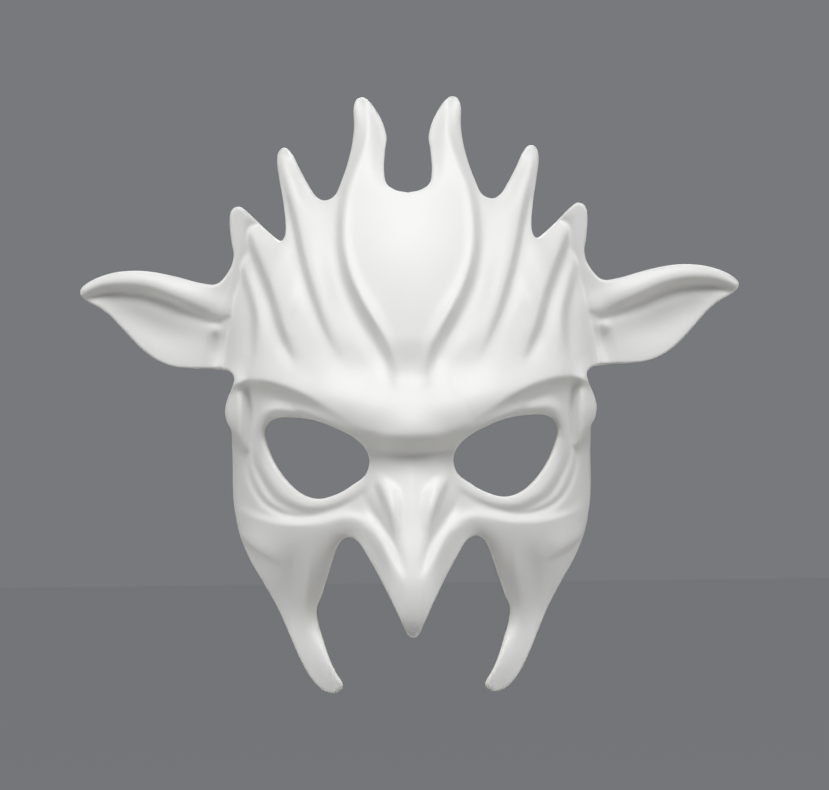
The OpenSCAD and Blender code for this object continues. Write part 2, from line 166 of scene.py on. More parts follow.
def addStudio():
    for name, values in studio["lights"].items():
        addSoftbox(name, *values)
    world = scene.world = bpy.data.worlds.new("studio")
    world.use_nodes = True
    tree = world.node_tree
    tree.nodes.clear()
    glow = addNode(tree, "ShaderNodeBackground", {"Color": linear(studio["worldColour"]),
                                                  "Strength": studio["worldStrength"]})
    seen = addNode(tree, "ShaderNodeBackground", {"Color": linear(studio["backdropColour"])})
    path = addNode(tree, "ShaderNodeLightPath")
    both = addNode(tree, "ShaderNodeMixShader", None,
                   {0: path.outputs["Is Camera Ray"], 1: glow.outputs[0], 2: seen.outputs[0]})
    addNode(tree, "ShaderNodeOutputWorld", None, {"Surface": both.outputs[0]})
    # matte pale paint, evened out for the camera so that floor and backdrop run together
    mat, tree, _ = newMaterial("matte_floor_paint")
    shader = addNode(tree, "ShaderNodeBsdfPrincipled",
                     {"Base Color": linear(studio["floorColour"]), "Roughness": 0.9})
    even = addNode(tree, "ShaderNodeEmission", {"Color": linear(studio["farFloorColour"])})
    path = addNode(tree, "ShaderNodeLightPath")
    share = addNode(tree, "ShaderNodeMath", {"operation": "MULTIPLY", 1: studio["farShare"]},
                    {0: path.outputs["Is Camera Ray"]})
    both = addNode(tree, "ShaderNodeMixShader", None,
                   {0: share.outputs[0], 1: shader.outputs[0], 2: even.outputs[0]})
    addNode(tree, "ShaderNodeOutputMaterial", None, {"Surface": both.outputs[0]})
    half, low = studio["floorHalf"], -studio["floorDrop"]
    corners = [(-half, -half, low), (half, -half, low), (half, half, low), (-half, half, low)]
    makeMesh("floor", corners, [(0, 1, 2, 3)], mat)
    scene.view_settings.view_transform = "Standard"


addCamera()
addStudio()
print("studio ready")


def smoothCurve(points, per, closed=False):
    # Catmull-Rom through given points, any number of columns
    p = np.array(points, float)
    n = len(p)
    made = []
    for i in range(n if closed else n - 1):
        a = p[(i - 1) % n] if closed else p[max(i - 1, 0)]
        b, c = p[i], p[(i + 1) % n]
        d = p[(i + 2) % n] if closed else p[min(i + 2, n - 1)]
        for k in range(per):
            t = k / per
            made.append(0.5 * (2 * b + (c - a) * t + (2 * a - 5 * b + 4 * c - d) * t ** 2
                               + (3 * b - a - 3 * c + d) * t ** 3))
    if not closed:
        made.append(p[-1])
    return np.array(made)


def evenSteps(points, spacing, closed=False):
    # the same curve with points an even distance apart
    p = np.vstack([points, points[:1]]) if closed else points
    run = np.concatenate([[0], np.cumsum(np.linalg.norm(np.diff(p, axis=0), axis=1))])
    count = max(2, round(run[-1] / spacing))
    at = np.linspace(0, run[-1], count + 1)
    if closed:
        at = at[:-1]
    return np.column_stack([np.interp(at, run, p[:, k]) for k in range(p.shape[1])])


def fade(t):
    t = np.clip(t, 0, 1)
    return t * t * (3 - 2 * t)


def inside(points, loop):
    # True for each point inside a closed loop
    hit = np.zeros(len(points), bool)
    for a, b in zip(loop, np.roll(loop, -1, 0)):
        if a[1] == b[1]:
            continue
        crosses = (a[1] > points[:, 1]) != (b[1] > points[:, 1])
        hit ^= crosses & (points[:, 0] < (b[0] - a[0]) * (points[:, 1] - a[1]) / (b[1] - a[1]) + a[0])
    return hit


# Seen from the front: x to the side from the middle, z up from the eye line. Depth y falls towards the viewer.
shell = {
    "wall": 2.6,
    "outline": [
        (0, 110), (5, 111), (9, 114), (10, 120), (9.5, 128), (9, 134), (11, 141), (15, 147.5), (18.5, 150.5),
        (21.5, 150), (23, 146), (23, 138), (24, 130), (26, 122), (28.5, 115), (31, 109.5), (35, 107.5),
        (39, 109.5), (42.5, 115), (46, 121.5), (49, 127.5), (52, 130.5), (54.8, 129), (55.5, 124),
        (54.5, 116), (53, 107), (52, 98), (52.3, 93), (54, 91), (57, 93), (62, 97.5), (67, 102.5),
        (71, 105.5), (74.5, 104), (75.4, 99), (74.8, 91), (74, 85), (76, 79), (81, 73.5), (88, 74),
        (98, 76.8), (108, 79), (117, 79.7), (126, 78.8), (134, 76.2), (139, 73), (140, 70), (137.5, 67.2),
        (132, 64.2), (127, 60.5), (121, 54), (114.5, 47), (108, 41.7), (101, 38.5), (92, 37.3), (82, 37.2),
        (77.5, 36.8), (74.6, 34), (75.4, 30), (77.6, 25), (78.8, 20), (78, 15), (76.3, 11.5), (76.4, 6),
        (76.3, 0), (76.4, -10), (76.2, -18), (75.2, -25), (73.4, -33), (69.2, -43), (63, -53.5),
        (57.3, -64), (53, -74), (48.5, -84.5), (44, -92.5), (39.5, -97.4), (34.5, -99.3), (30.8, -97.6),
        (30.3, -95), (33, -90.5), (35.8, -84.5), (38.5, -76.5), (40.4, -70), (40.8, -64), (38.5, -58),
        (34.8, -47), (31.8, -38.5), (29.5, -34.7), (26.3, -33.3), (23, -35), (19.5, -40.3), (13.8, -50.3),
        (8.6, -60.5), (4.6, -69), (2.4, -73.4), (0, -74.8)],
    "eye": [
        (17.8, -1.5), (19.5, 3.3), (24, 7.8), (31, 11.6), (40, 15), (50, 16.4), (57, 16), (61, 13.2),
        (62.1, 9.6), (60.6, 3.6), (57.2, -3.3), (52, -10), (46, -15), (39, -17), (31, -14.8),
        (24.5, -11), (19.5, -7)],
    # plain face: depth down the middle, and how it falls back to the sides
    "profile": [
        (-120, 11), (-100, 2), (-75, -8), (-50, -16), (-25, -21), (0, -24), (25, -28), (50, -27),
        (80, -20), (110, -9), (135, 1), (160, 10)],
    "sideHalf": 83,
    "sideDepth": 84,
    "sidePower": 2.25,
    "sideLimit": 0.985,       # share of sideHalf past which the face stops falling back
    # the forehead plate: x, z of its edge, then its height, the width of its step and where its foot fades out
    "plateShape": [
        (0, 170), (24, 168), (19, 150), (17.5, 139), (19.5, 129), (23, 120), (26, 111), (27.8, 100), (28, 90),
        (26.6, 80), (23.4, 70), (18.4, 60), (12.9, 50.5), (9.2, 42), (6.6, 34), (0, 30)],
    "plateStep": (3.6, 4.2, 32, 50),
    # the brow's hanging outer lobe, in the same form
    "lobeShape": [
        (86, 46), (86, 16), (79, 12.6), (74.6, 8.8), (70, 3.6), (69, 8), (69, 15), (69.4, 22), (70.4, 34),
        (72, 46)],
    "lobeStep": (7.4, 6, 42, 24),
    # raised lines: how square their flanks are, then x, z, height, fade right of travel, fade left of travel
    "faceLines": {
        "plateEdge": (2, [
            (22, 149, 1.4, 2.4, 3), (19.5, 139, 2, 2.6, 3), (20.5, 129, 1.8, 2.8, 3),
            (23.8, 119, 1.5, 2.8, 2.6), (26.6, 109, 1.5, 2.6, 2), (27.6, 97, 1.6, 2.4, 1.8),
            (27.2, 87, 1.6, 2.4, 1.8), (25, 77, 1.8, 2.6, 1.8), (21, 67, 2, 3, 2), (15.6, 57, 2.2, 3.4, 2),
            (10.8, 48, 2, 3.2, 2), (7.8, 40, 1.4, 3, 2), (5.6, 31, 0.4, 3, 2.2)]),
        "plateGroove": (2, [
            (30.5, 108, -0.4, 2, 4), (31, 97, -0.9, 2, 4.5), (30.9, 87, -1.5, 2, 5), (29, 76, -2.2, 2.2, 5),
            (25, 66, -2.8, 2.4, 5), (19.5, 56, -3, 2.4, 5), (14, 47.5, -2.6, 2.4, 4.5),
            (10.4, 39, -1.4, 2.2, 4), (8, 31, -0.2, 2, 3)]),
        "firstHornInside": (2, [
            (18, 150, -1.6, 3, 3), (12.5, 143, -4.2, 4, 4), (9.5, 134, -5, 4.5, 4), (9.5, 126, -4.2, 4.5, 4),
            (9.5, 118, -2.2, 4, 4), (5, 112, -0.6, 3, 3)]),
        "firstHornBack": (2, [
            (27, 146, -3, 5, 4), (26, 135, -3, 5, 4), (28, 124, -2.6, 5, 4), (31, 114, -1.6, 4, 4)]),
        "secondRidge": (2, [
            (52.6, 129, 2.2, 3, 2.2), (50.2, 117, 2.8, 5, 2.4), (47.6, 106, 2.8, 6, 2), (45.4, 96, 2.8, 7, 1.8),
            (43.6, 87, 2.8, 7, 1.8), (41.2, 77, 2.8, 7, 1.8), (38.2, 67, 2.6, 6, 1.8), (35, 58, 2, 5, 1.8),
            (31, 49, 1.2, 5, 2), (27, 42, 0.2, 5, 2)]),
        "secondGroove": (2, [
            (51, 106, -0.8, 1.8, 4), (48.8, 97, -1.6, 1.8, 4.5), (47, 88, -2, 1.8, 5), (44.6, 78, -2.2, 1.8, 5),
            (41.6, 68, -2.2, 1.8, 5), (38.6, 59, -1.8, 1.8, 4.5), (35, 50, -1, 1.8, 4), (31.5, 43, -0.2, 1.8, 4)]),
        "secondHornFacet": (2, [
            (54, 130, -1.6, 2, 2), (48.5, 124, -3, 3, 3.4), (44, 117, -3.4, 3, 4), (40.5, 110, -2.6, 3, 4),
            (36, 106, -0.8, 3, 3)]),
        "thirdRidge": (2, [
            (71.6, 105, 2.2, 3, 2.6), (68.4, 98, 2.8, 3.4, 2.4), (64.4, 89, 3, 5, 2), (59.6, 77, 3, 6, 1.8),
            (55.6, 66, 2.8, 6, 1.8), (53, 57, 2.4, 5, 1.8), (49.6, 48, 1.6, 5, 1.8), (46, 40, 0.3, 5, 2)]),
        "thirdGroove": (2, [
            (71, 96, -0.4, 1.8, 3), (67.6, 88, -1.4, 1.8, 4), (63, 77, -2, 1.8, 4),
            (58.8, 66.5, -2.2, 1.8, 4.5), (56.2, 57, -2, 1.8, 4.5), (52.8, 47.5, -1.6, 1.8, 4),
            (49.4, 39, -0.6, 1.8, 4)]),
        "thirdHornFacet": (2, [
            (70.4, 106, -0.4, 2, 2), (66, 102.4, -1.6, 2.6, 2.4), (61.4, 98, -2.4, 2.8, 2.6),
            (57, 93.6, -2.6, 3, 3), (53, 90, -0.8, 3, 3)]),
        "earRootRidge": (2, [
            (71.4, 86, 0.2, 4, 2), (68.4, 76, 1.5, 4, 1.8), (65.2, 66, 2.2, 4, 1.8), (63.6, 58, 2.2, 4, 1.8),
            (63.6, 50, 1.8, 4, 1.8), (65, 42, 0.6, 4, 2)]),
        "earRootGroove": (2, [
            (73.6, 84, -0.2, 1.6, 3), (70.6, 75, -1.4, 1.6, 4), (67.4, 65, -2, 1.6, 4.4),
            (66.2, 58, -2, 1.6, 4.4), (66.4, 50, -1.6, 1.6, 4.4), (67.4, 43, -0.4, 1.6, 4)]),
        "browEdge": (1.5, [
            (79, 29, 4.4, 8, 2.4), (71, 32, 6.6, 9, 2.4), (62, 32.4, 7.6, 9, 2.6), (54, 30.6, 7.8, 10, 3),
            (46, 27.6, 7, 11, 3.4), (39, 24, 5, 12, 3.6), (32, 19.6, 2.2, 12, 4), (25, 16, 0.3, 12, 4)]),
        "browRoll": (-2.4, [
            (56, 33, 0.3, 8, 8), (48, 30, 2.2, 11, 8), (40, 25.4, 4.6, 14, 9), (32, 19.6, 7.6, 16, 9),
            (23, 14.4, 9.8, 18, 9), (12, 11, 11, 20, 8.8), (0, 10.2, 11.4, 22, 8.8)]),
        "lobeCrease": (2, [
            (68.6, 30, -0.8, 2.4, 3), (67, 24, -2.6, 2.8, 3.4), (66.6, 17, -3.2, 2.8, 3.4),
            (67.2, 10, -2.6, 2.4, 3), (68.2, 4, -0.8, 2, 2)]),
        "eyeLid": (2, [
            (64.4, 6, 0.6, 2.5, 3), (64, 13, 2.6, 3, 3), (58.5, 20, 4, 3, 3.4), (48, 19.6, 4.4, 3, 3.2),
            (39, 16.4, 4, 3, 3), (31, 12, 2.6, 3, 3), (24, 8, 1, 3, 3)]),
        "eyeRim": (2, [
            (63.6, 2, 0.6, 3, 2), (60.6, -5.5, 0.9, 3, 2.2), (54.6, -13.6, 1, 3, 2.4), (47, -19, 1, 3, 2.4),
            (39, -20.4, 1, 3, 2.4), (30, -17.8, 0.9, 3, 2.4), (22.4, -12.6, 0.7, 3, 2.4), (17, -6, 0.3, 3, 3)]),
        "cheekRidge": (2, [
            (76, -22, 0.5, 4, 12), (66, -25.4, 1.8, 2, 15), (54, -27.6, 2.8, 1.8, 17), (42, -27.2, 3, 1.8, 16),
            (32, -25.4, 2.8, 2.2, 11), (23, -26, 2.4, 3, 7), (15.5, -31, 2.6, 2.5, 5),
            (10.4, -38.4, 2.4, 2.2, 4.5), (6.8, -46, 1.2, 2.2, 4), (4.4, -53, 0.3, 2.4, 4)]),
        "beak": (3, [
            (0, 5, 3, 12, 12), (0, -6, 5.6, 13, 13), (0, -16, 9, 14, 14), (0, -28, 14.4, 15, 15),
            (0, -40, 20.6, 17, 17), (0, -52, 26, 18, 18), (0, -62, 28.4, 18, 18), (0, -70, 27.4, 17, 17),
            (0, -78, 21, 15, 15), (0, -84, 13, 14, 14)]),
        "noseWing": (3, [
            (13.6, -8.4, 0.6, 2, 1.8), (12.4, -11, 3.2, 3.2, 2), (10.6, -15.4, 4.8, 4, 2.2),
            (8.8, -20.6, 4.6, 3.6, 2.2), (7.3, -26, 2.8, 2.6, 1.8), (6, -31.4, 0.5, 2, 1.6)]),
        "bridge": (2, [
            (0, -2, 0.2, 3, 3), (0, -10, 0.5, 2.6, 2.6), (0, -20, 0.5, 2.6, 2.6), (0, -32, 0.1, 3, 3)]),
        "browEndGroove": (2, [(50.5, 46, -1.2, 4, 4), (47.5, 40, -1.6, 4, 4), (43, 36, -0.8, 4, 5)]),
        "firstEyeFold": (2, [
            (67, 6, -0.3, 1.4, 1.4), (66, -2, -0.9, 1.5, 1.4), (62.8, -9, -1.1, 1.5, 1.4),
            (57.6, -16.8, -1.1, 1.6, 1.5), (50.5, -20.8, -1.1, 1.6, 1.6), (42.7, -22.6, -1, 1.6, 1.6),
            (34, -21.6, -0.8, 1.6, 1.6), (26.5, -18.6, -0.5, 1.5, 1.5), (21.5, -15.6, -0.1, 1.5, 1.5)]),
        "secondEyeFold": (2, [
            (69.6, 0, -0.5, 1.2, 1.2), (67.6, -9, -1, 1.3, 1.2), (63.6, -16.5, -1.2, 1.3, 1.3),
            (57.5, -21.6, -1.5, 1.4, 1.4), (49, -24.4, -1.6, 1.6, 1.4), (40, -24.8, -1.2, 1.8, 1.4),
            (31, -23.6, -0.3, 1.8, 1.4)]),
        "noseCrease": (2, [
            (19, -16, -0.6, 2.5, 2.5), (16.5, -22, -1.8, 2.2, 2), (13, -27.5, -2.6, 2, 1.8),
            (9, -34, -2.6, 1.8, 1.8), (6.2, -40.5, -1.8, 1.8, 1.8), (4.4, -47, -0.3, 1.8, 1.8)]),
        "sideFold": (2, [
            (73.6, -31, 0.5, 6, 1.6), (68.8, -35.4, 2.2, 6, 1.5), (63, -39.4, 2, 6, 1.7), (56, -42, 0.5, 6, 2.2)]),
        "flapRoll": (1.15, [
            (27.6, -32, -0.8, 3, 2.6), (31.4, -40, -5, 3, 3), (34.2, -49, -8, 3, 3.4), (37, -57, -9.4, 3, 3.8),
            (39.2, -64, -9.6, 3, 4), (38.8, -71, -8, 3, 4), (36, -79, -4.6, 3, 3.6), (32.6, -87, -1.6, 3, 3.4),
            (30, -93, -0.3, 3, 3)]),
        "firstFlapFlute": (2, [
            (42.6, -40, 0.2, 2.4, 2.2), (43.4, -47, 0.9, 2.4, 2.4), (43.8, -55, 1.2, 2.4, 2.6),
            (44, -64, 0.9, 2.4, 2.6), (43.6, -75, 0.2, 2.4, 2.4)]),
        "secondFlapFlute": (2, [
            (50, -36, -0.1, 3, 3), (50.4, -44, -0.9, 3, 3.4), (50.8, -53, -1.4, 3, 3.6),
            (50.4, -62, -1.2, 3, 3.4), (48.6, -74, -0.3, 3, 3)]),
    },
    # rounded lumps and hollows: x, z, height, half width across, half width along, degrees turned
    "faceLumps": [
        (0, 82, 1, 17, 30, 0),
        (51, -67, -7.5, 20, 25, 25),
        (38, 2, -4, 24, 13, 10),
        (55, 82, 1.4, 4, 12, 20),
        (82, 18, 10, 7.5, 11, 0),
        (50, 64, 1.4, 3.4, 10, 15),
    ],
    "earLines": {
        "rim": (-2.4, [
            (141, 69.5, 1.2, 3, 2.4), (136, 71.4, 2.6, 3.6, 3), (128, 74, 3.6, 5, 3.4),
            (118, 74.6, 4.2, 5.4, 3.8), (108, 73, 4.4, 5.6, 4), (98, 69, 4.6, 6, 4.4), (90, 65.6, 4, 6.4, 4.8),
            (82, 62, 2, 6, 5)]),
        "rimCrease": (2, [
            (81, 57, -0.8, 3, 2), (88.4, 60.6, -2, 3.4, 1.8), (97, 64, -2.8, 4, 1.6), (104.4, 67, -3, 4, 1.6),
            (113, 69.8, -3, 4, 1.5), (121.6, 70.9, -2.8, 4, 1.5), (131, 70.6, -2.2, 3, 1.5),
            (137, 68.4, -1, 2, 1.4)]),
        "bowl": (2, [
            (90, 50, -1.4, 9, 9), (104, 54, -3, 9, 9), (116, 60, -2.8, 8, 7), (126, 65.5, -1.4, 5, 5)]),
    },
    "earLumps": [(82, 54.2, 1.4, 2.6, 3, 20), (82, 45, -2.6, 3.4, 9, 8)],
    # the ear's own plain sheet
    "ear": {
        "depth": 22, "rootX": 76, "middleZ": 60,
        "lean": 0.12, "curl": 0.0012, "tilt": 0.16,      # back with x, with x squared and with z
        "foot": 38, "footFade": 8, "footDrop": 40,       # below the ear the sheet falls away
        "fromX": 60, "crease": 6, "creaseFill": 1.2,     # where it meets the face, and how softly
    },
    "soften": 0.55,           # blur that rounds every crease, as casting does
    "cell": 0.6,              # spacing of the grid the form is worked out on
    "gridFrom": (-9, -106), "gridTo": (146, 158),
    "calmBlur": 3,            # blur for the slopes, which the folds would upset
    "bridged": 1.8,           # hollows up to twice as wide as this are bridged on the inner face
    "backBlur": 2,
    "steepest": 2.6,          # how many times its thickness the wall may reach back on a slope
}


def lineRise(x, z, line):
    # height of a raised line at each place, from the nearest stretch of its smoothed path
    # a flank below zero rolls under on the left instead of fading, with a sharp foot
    flank, points = line
    path = smoothCurve(points, 5)
    reach = 2.6 * path[:, 3:].max() + 1      # past this the line's height is nearly nothing
    near = ((x > path[:, 0].min() - reach) & (x < path[:, 0].max() + reach)
            & (z > path[:, 1].min() - reach) & (z < path[:, 1].max() + reach))
    px, pz = x[near], z[near]
    best, rise = np.full(px.shape, 1e9), np.zeros(px.shape)
    for a, b in zip(path[:-1], path[1:]):
        dx, dz = b[:2] - a[:2]
        length = math.hypot(dx, dz)
        t = np.clip(((px - a[0]) * dx + (pz - a[1]) * dz) / length ** 2, 0, 1)
        ex, ez = px - a[0] - t * dx, pz - a[1] - t * dz
        d2 = ex * ex + ez * ez
        left = np.clip(0.5 + 0.5 * (dx * ez - dz * ex) / (length * (np.sqrt(d2) + 1e-3)), 0, 1)
        right, leftFade = a[3] + t * (b[3] - a[3]), a[4] + t * (b[4] - a[4])
        width = right + (leftFade - right) * left
        closer = d2 < best
        best[closer] = d2[closer]
        off = np.sqrt(d2) / width
        drop = np.exp(-off ** abs(flank))
        if flank < 0:
            drop = np.where(left > 0.5, np.maximum(1 - off ** 2, 0), drop)
        rise[closer] = ((a[2] + t * (b[2] - a[2])) * drop)[closer]
    out = np.zeros(x.shape)
    out[near] = rise
    return out


def lumpRise(x, z, lump):
    cx, cz, height, across, along, turned = lump
    c, s = math.cos(math.radians(turned)), math.sin(math.radians(turned))
    u, v = (x - cx) * c + (z - cz) * s, (z - cz) * c - (x - cx) * s
    return height * np.exp(-(u / across) ** 2 - (v / along) ** 2)


def stepRise(x, z, shape, step):
    # a raised patch: full height inside its edge, with a soft step, fading out towards its foot
    height, width, foot, whole = step
    loop = smoothCurve(shape, 4)
    near, within = np.full(x.shape, 1e9), inside(np.column_stack([x.ravel(), z.ravel()]), loop).reshape(x.shape)
    for a, b in zip(loop[:-1], loop[1:]):
        dx, dz = b - a
        t = np.clip(((x - a[0]) * dx + (z - a[1]) * dz) / (dx * dx + dz * dz), 0, 1)
        near = np.minimum(near, np.hypot(x - a[0] - t * dx, z - a[1] - t * dz))
    signed = np.where(within, near, -near)
    return height * fade(0.5 + signed / width) * fade((z - foot) / (whole - foot))


def totalRise(x, z, lines, lumps):
    return sum(lineRise(x, z, line) for line in lines.values()) + sum(lumpRise(x, z, lump) for lump in lumps)


def frontDepth(x, z):
    # depth of the outside of the shell, for x on one side of the middle
    profile, ear = smoothCurve(shell["profile"], 8), shell["ear"]
    off = np.clip(x / shell["sideHalf"], 0, shell["sideLimit"])
    face = (np.interp(z, profile[:, 0], profile[:, 1])
            + shell["sideDepth"] * (1 - np.sqrt(1 - off ** shell["sidePower"])))
    face -= totalRise(x, z, shell["faceLines"], shell["faceLumps"])
    face -= stepRise(x, z, shell["plateShape"], shell["plateStep"])
    face -= stepRise(x, z, shell["lobeShape"], shell["lobeStep"])
    out = x - ear["rootX"]
    sheet = (ear["depth"] + ear["lean"] * out + ear["curl"] * np.maximum(out, 0) ** 2
             + ear["tilt"] * (ear["middleZ"] - z) + ear["footDrop"] * fade((ear["foot"] - z) / ear["footFade"]))
    sheet -= totalRise(x, z, shell["earLines"], shell["earLumps"])
    valley = np.maximum(ear["crease"] - np.abs(face - sheet), 0) / ear["crease"]
    both = np.minimum(face, sheet) + valley ** 2 * ear["creaseFill"]
    return np.where(x < ear["fromX"], face, both)


def blurred(field, sigma):
    reach = int(3 * sigma) + 1
    weights = np.exp(-0.5 * (np.arange(-reach, reach + 1) / sigma) ** 2)
    weights /= weights.sum()
    for axis in (0, 1):
        padded = np.pad(field, [(reach, reach) if a == axis else (0, 0) for a in (0, 1)], mode="edge")
        field = sum(w * np.take(padded, range(k, k + field.shape[axis]), axis=axis) for k, w in enumerate(weights))
    return field


def deepest(field, reach):
    # the furthest-back value within a few cells of each place
    out = field.copy()
    padded = np.pad(field, reach, mode="edge")
    n, m = field.shape
    for i in range(-reach, reach + 1):
        for j in range(-reach, reach + 1):
            if i * i + j * j <= reach * reach:
                out = np.maximum(out, padded[reach + i:reach + i + n, reach + j:reach + j + m])
    return out


class Form:
    # depth fields of the shell on one grid over half the face, read with smooth interpolation
    def __init__(self):
        cell, (self.x0, self.z0), (x1, z1) = shell["cell"], shell["gridFrom"], shell["gridTo"]
        xs, zs = np.arange(self.x0, x1, cell), np.arange(self.z0, z1, cell)
        front = frontDepth(*np.meshgrid(np.abs(xs), zs, indexing="ij"))
        self.front = blurred(front, shell["soften"] / cell)
        self.calm = blurred(front, shell["calmBlur"] / cell)
        gx, gz = np.gradient(self.calm, cell)
        steep = np.sqrt(1 + gx ** 2 + gz ** 2)
        self.nx, self.ny, self.nz = gx / steep, -1 / steep, gz / steep
        behind = blurred(deepest(self.front, round(shell["bridged"] / cell)), shell["backBlur"] / cell)
        self.back = behind + shell["wall"] * np.minimum(steep, shell["steepest"])

    def read(self, field, x, z):
        u = np.clip((np.abs(x) - self.x0) / shell["cell"], 1, field.shape[0] - 3)
        v = np.clip((z - self.z0) / shell["cell"], 1, field.shape[1] - 3)
        i, j = u.astype(int), v.astype(int)
        fu, fv = u - i, v - j

        def weights(t):
            return (-0.5 * t + t ** 2 - 0.5 * t ** 3, 1 - 2.5 * t ** 2 + 1.5 * t ** 3,
                    0.5 * t + 2 * t ** 2 - 1.5 * t ** 3, -0.5 * t ** 2 + 0.5 * t ** 3)
        wu, wv = weights(fu), weights(fv)
        return sum(wu[a] * wv[b] * field[i + a - 1, j + b - 1] for a in range(4) for b in range(4))

    def wall(self, co, clear=0):
        # depth of the casting's inner face at each point, with a gap added
        return self.read(self.back, co[:, 0], co[:, -1]) + clear


form = Form()
print("shell form worked out")

shellMesh = {
    "edgeStep": 0.8,          # along the rims
    "rimSample": 0.2,         # between the points that distances to a rim are measured from
    "frontStep": 0.85,        # between points on the outside
    "backStep": 1.7,          # and on the inside
    "rimRadius": 1.3,
    "rimRings": (0.12, 0.4, 0.8, 1.3),
    "backBlend": 9,           # inside the rim, the wall takes this far to reach its full depth
    "calmRim": 4,             # over this far from the rim the inner face forgets the folds
    "poolHeight": 0.35,       # uneven inner face, where the casting rubber pooled
    "poolFrom": 2, "poolFade": 8,
    "poolWaves": ((0.21, 1.3, 0.11), (0.17, 0.9, 0.13)),
    "fieldX": 142, "fieldZ": (-100, 152),    # how far the even field of points reaches
    "rowStep": 0.866,         # row spacing of even triangles, times the step
    "middleGap": 0.3, "fieldGap": 0.45,      # least distance to the middle line and to the rings, times the step
    "ringHold": 0.93,         # ring points nearer the rim than this share are dropped in tight corners
}


def rimLoops():
    # half outline closed along the middle line, and the eye opening
    half = evenSteps(smoothCurve(shell["outline"], 8), shellMesh["edgeStep"])
    eye = evenSteps(smoothCurve(shell["eye"], 8, True), shellMesh["edgeStep"], True)
    return half, eye


def inward(loop, closed, towards):
    # unit normals in the front view that point into the sheet
    step = np.roll(loop, -1, 0) - np.roll(loop, 1, 0) if closed else np.gradient(loop, axis=0)
    n = np.column_stack([-step[:, 1], step[:, 0]])
    n /= np.linalg.norm(n, axis=1, keepdims=True)
    probe = loop + 0.3 * n
    return np.where(inside(probe, towards)[:, None], n, -n)


def rimGap(points, rimTree):
    return np.array([rimTree.find((p[0], p[1], 0))[2] for p in points])


def halfSheet(step, half, eye, rimTree):
    # triangles over half the front view: rim points first, then rings beside the rim, then an even field
    clear = shellMesh["middleGap"] * step
    middle = np.arange(half[-1][1] + step, half[0][1] - clear, step)
    border = np.vstack([half, np.column_stack([np.zeros(len(middle)), middle])])
    closedHalf = np.vstack([half, [[0, half[0][1]]]])

    def onShell(points):
        return inside(points, closedHalf) & ~inside(points, eye)
    rings = []
    eyeIn, halfIn = -inward(eye, True, eye), inward(half, False, closedHalf)
    for d in shellMesh["rimRings"]:
        for ring in (half + halfIn * d, eye + eyeIn * d):
            ring = ring[onShell(ring) & (ring[:, 0] > clear)]
            rings.append(ring[rimGap(ring, rimTree) > shellMesh["ringHold"] * d])
    gx, gz = np.meshgrid(np.arange(step, shellMesh["fieldX"], step),
                         np.arange(*shellMesh["fieldZ"], step * shellMesh["rowStep"]))
    gx[::2] += step / 2
    field = np.column_stack([gx.ravel(), gz.ravel()])
    field = field[onShell(field)]
    field = field[rimGap(field, rimTree) > shellMesh["rimRings"][-1] + shellMesh["fieldGap"] * step]
    points = np.vstack([border, eye] + rings + [field])
    n = len(border)
    edges = [(i, (i + 1) % n) for i in range(n)] + [(n + i, n + (i + 1) % len(eye)) for i in range(len(eye))]
    verts, _, faces, *_ = delaunay_2d_cdt([Vector(p) for p in points], edges, [], 0, 1e-5)
    verts, faces = np.array([tuple(v) for v in verts]), np.array(faces)
    faces = faces[onShell(verts[faces].mean(axis=1))]
    flat = verts[faces]
    area = np.cross(flat[:, 1] - flat[:, 0], flat[:, 2] - flat[:, 0])
    faces = np.where(area[:, None] < 0, faces[:, ::-1], faces)[np.abs(area) > 1e-7]
    return verts, faces


def shellPoints(verts, rimTree, outer):
    # front or back of the wall above each place of the front view, meeting at the middle of the rim
    x, z = verts[:, 0], verts[:, 1]
    rim = rimGap(verts, rimTree)
    rounding = np.sqrt(np.maximum(0, 1 - (1 - np.clip(rim / shellMesh["rimRadius"], 0, 1)) ** 2))
    n = np.column_stack([form.read(f, x, z) for f in (form.nx, form.ny, form.nz)])
    n /= np.linalg.norm(n, axis=1, keepdims=True)
    front, half = form.read(form.front, x, z), shell["wall"] / 2
    if outer:
        return np.column_stack([x, front, z]) - n * (half * (1 - rounding))[:, None]
    calm = fade(rim / shellMesh["calmRim"]) / 2
    start = np.column_stack([x, front + (form.read(form.calm, x, z) - front) * calm, z])
    nearRim = start - n * (half * (1 + rounding))[:, None]
    (a, b, c), (d, e, f) = shellMesh["poolWaves"]
    pool = (np.sin(a * x + b * np.sin(c * z)) * np.sin(d * z + e * np.sin(f * x))
            * shellMesh["poolHeight"] * fade((rim - shellMesh["poolFrom"]) / shellMesh["poolFade"]))
    deep = np.column_stack([x, form.wall(verts, pool), z])
    k = fade(rim / shellMesh["backBlend"])[:, None]
    return nearRim * (1 - k) + deep * k


def mirrorSheet(points, faces):
    # the other half, sharing the points on the middle line
    onMiddle = np.abs(points[:, 0]) < 1e-4
    points = points.copy()
    points[onMiddle, 0] = 0
    index = np.arange(len(points))
    other = np.where(onMiddle, index, len(points) + np.cumsum(~onMiddle) - 1)
    both = np.vstack([points, points[~onMiddle] * (-1, 1, 1)])
    return both, np.vstack([faces, other[faces][:, ::-1]])


def weld(obj, distance=0.00002):
    # merges doubles, turns the faces outwards and counts the edges left open
    bm = bmesh.new()
    bm.from_mesh(obj.data)
    bmesh.ops.remove_doubles(bm, verts=bm.verts, dist=distance)
    bmesh.ops.dissolve_degenerate(bm, edges=bm.edges, dist=1e-6)
    bmesh.ops.recalc_face_normals(bm, faces=bm.faces)
    loose = [e for e in bm.edges if len(e.link_faces) != 2]
    bm.to_mesh(obj.data)
    bm.free()
    obj.data.update()
    return len(loose)


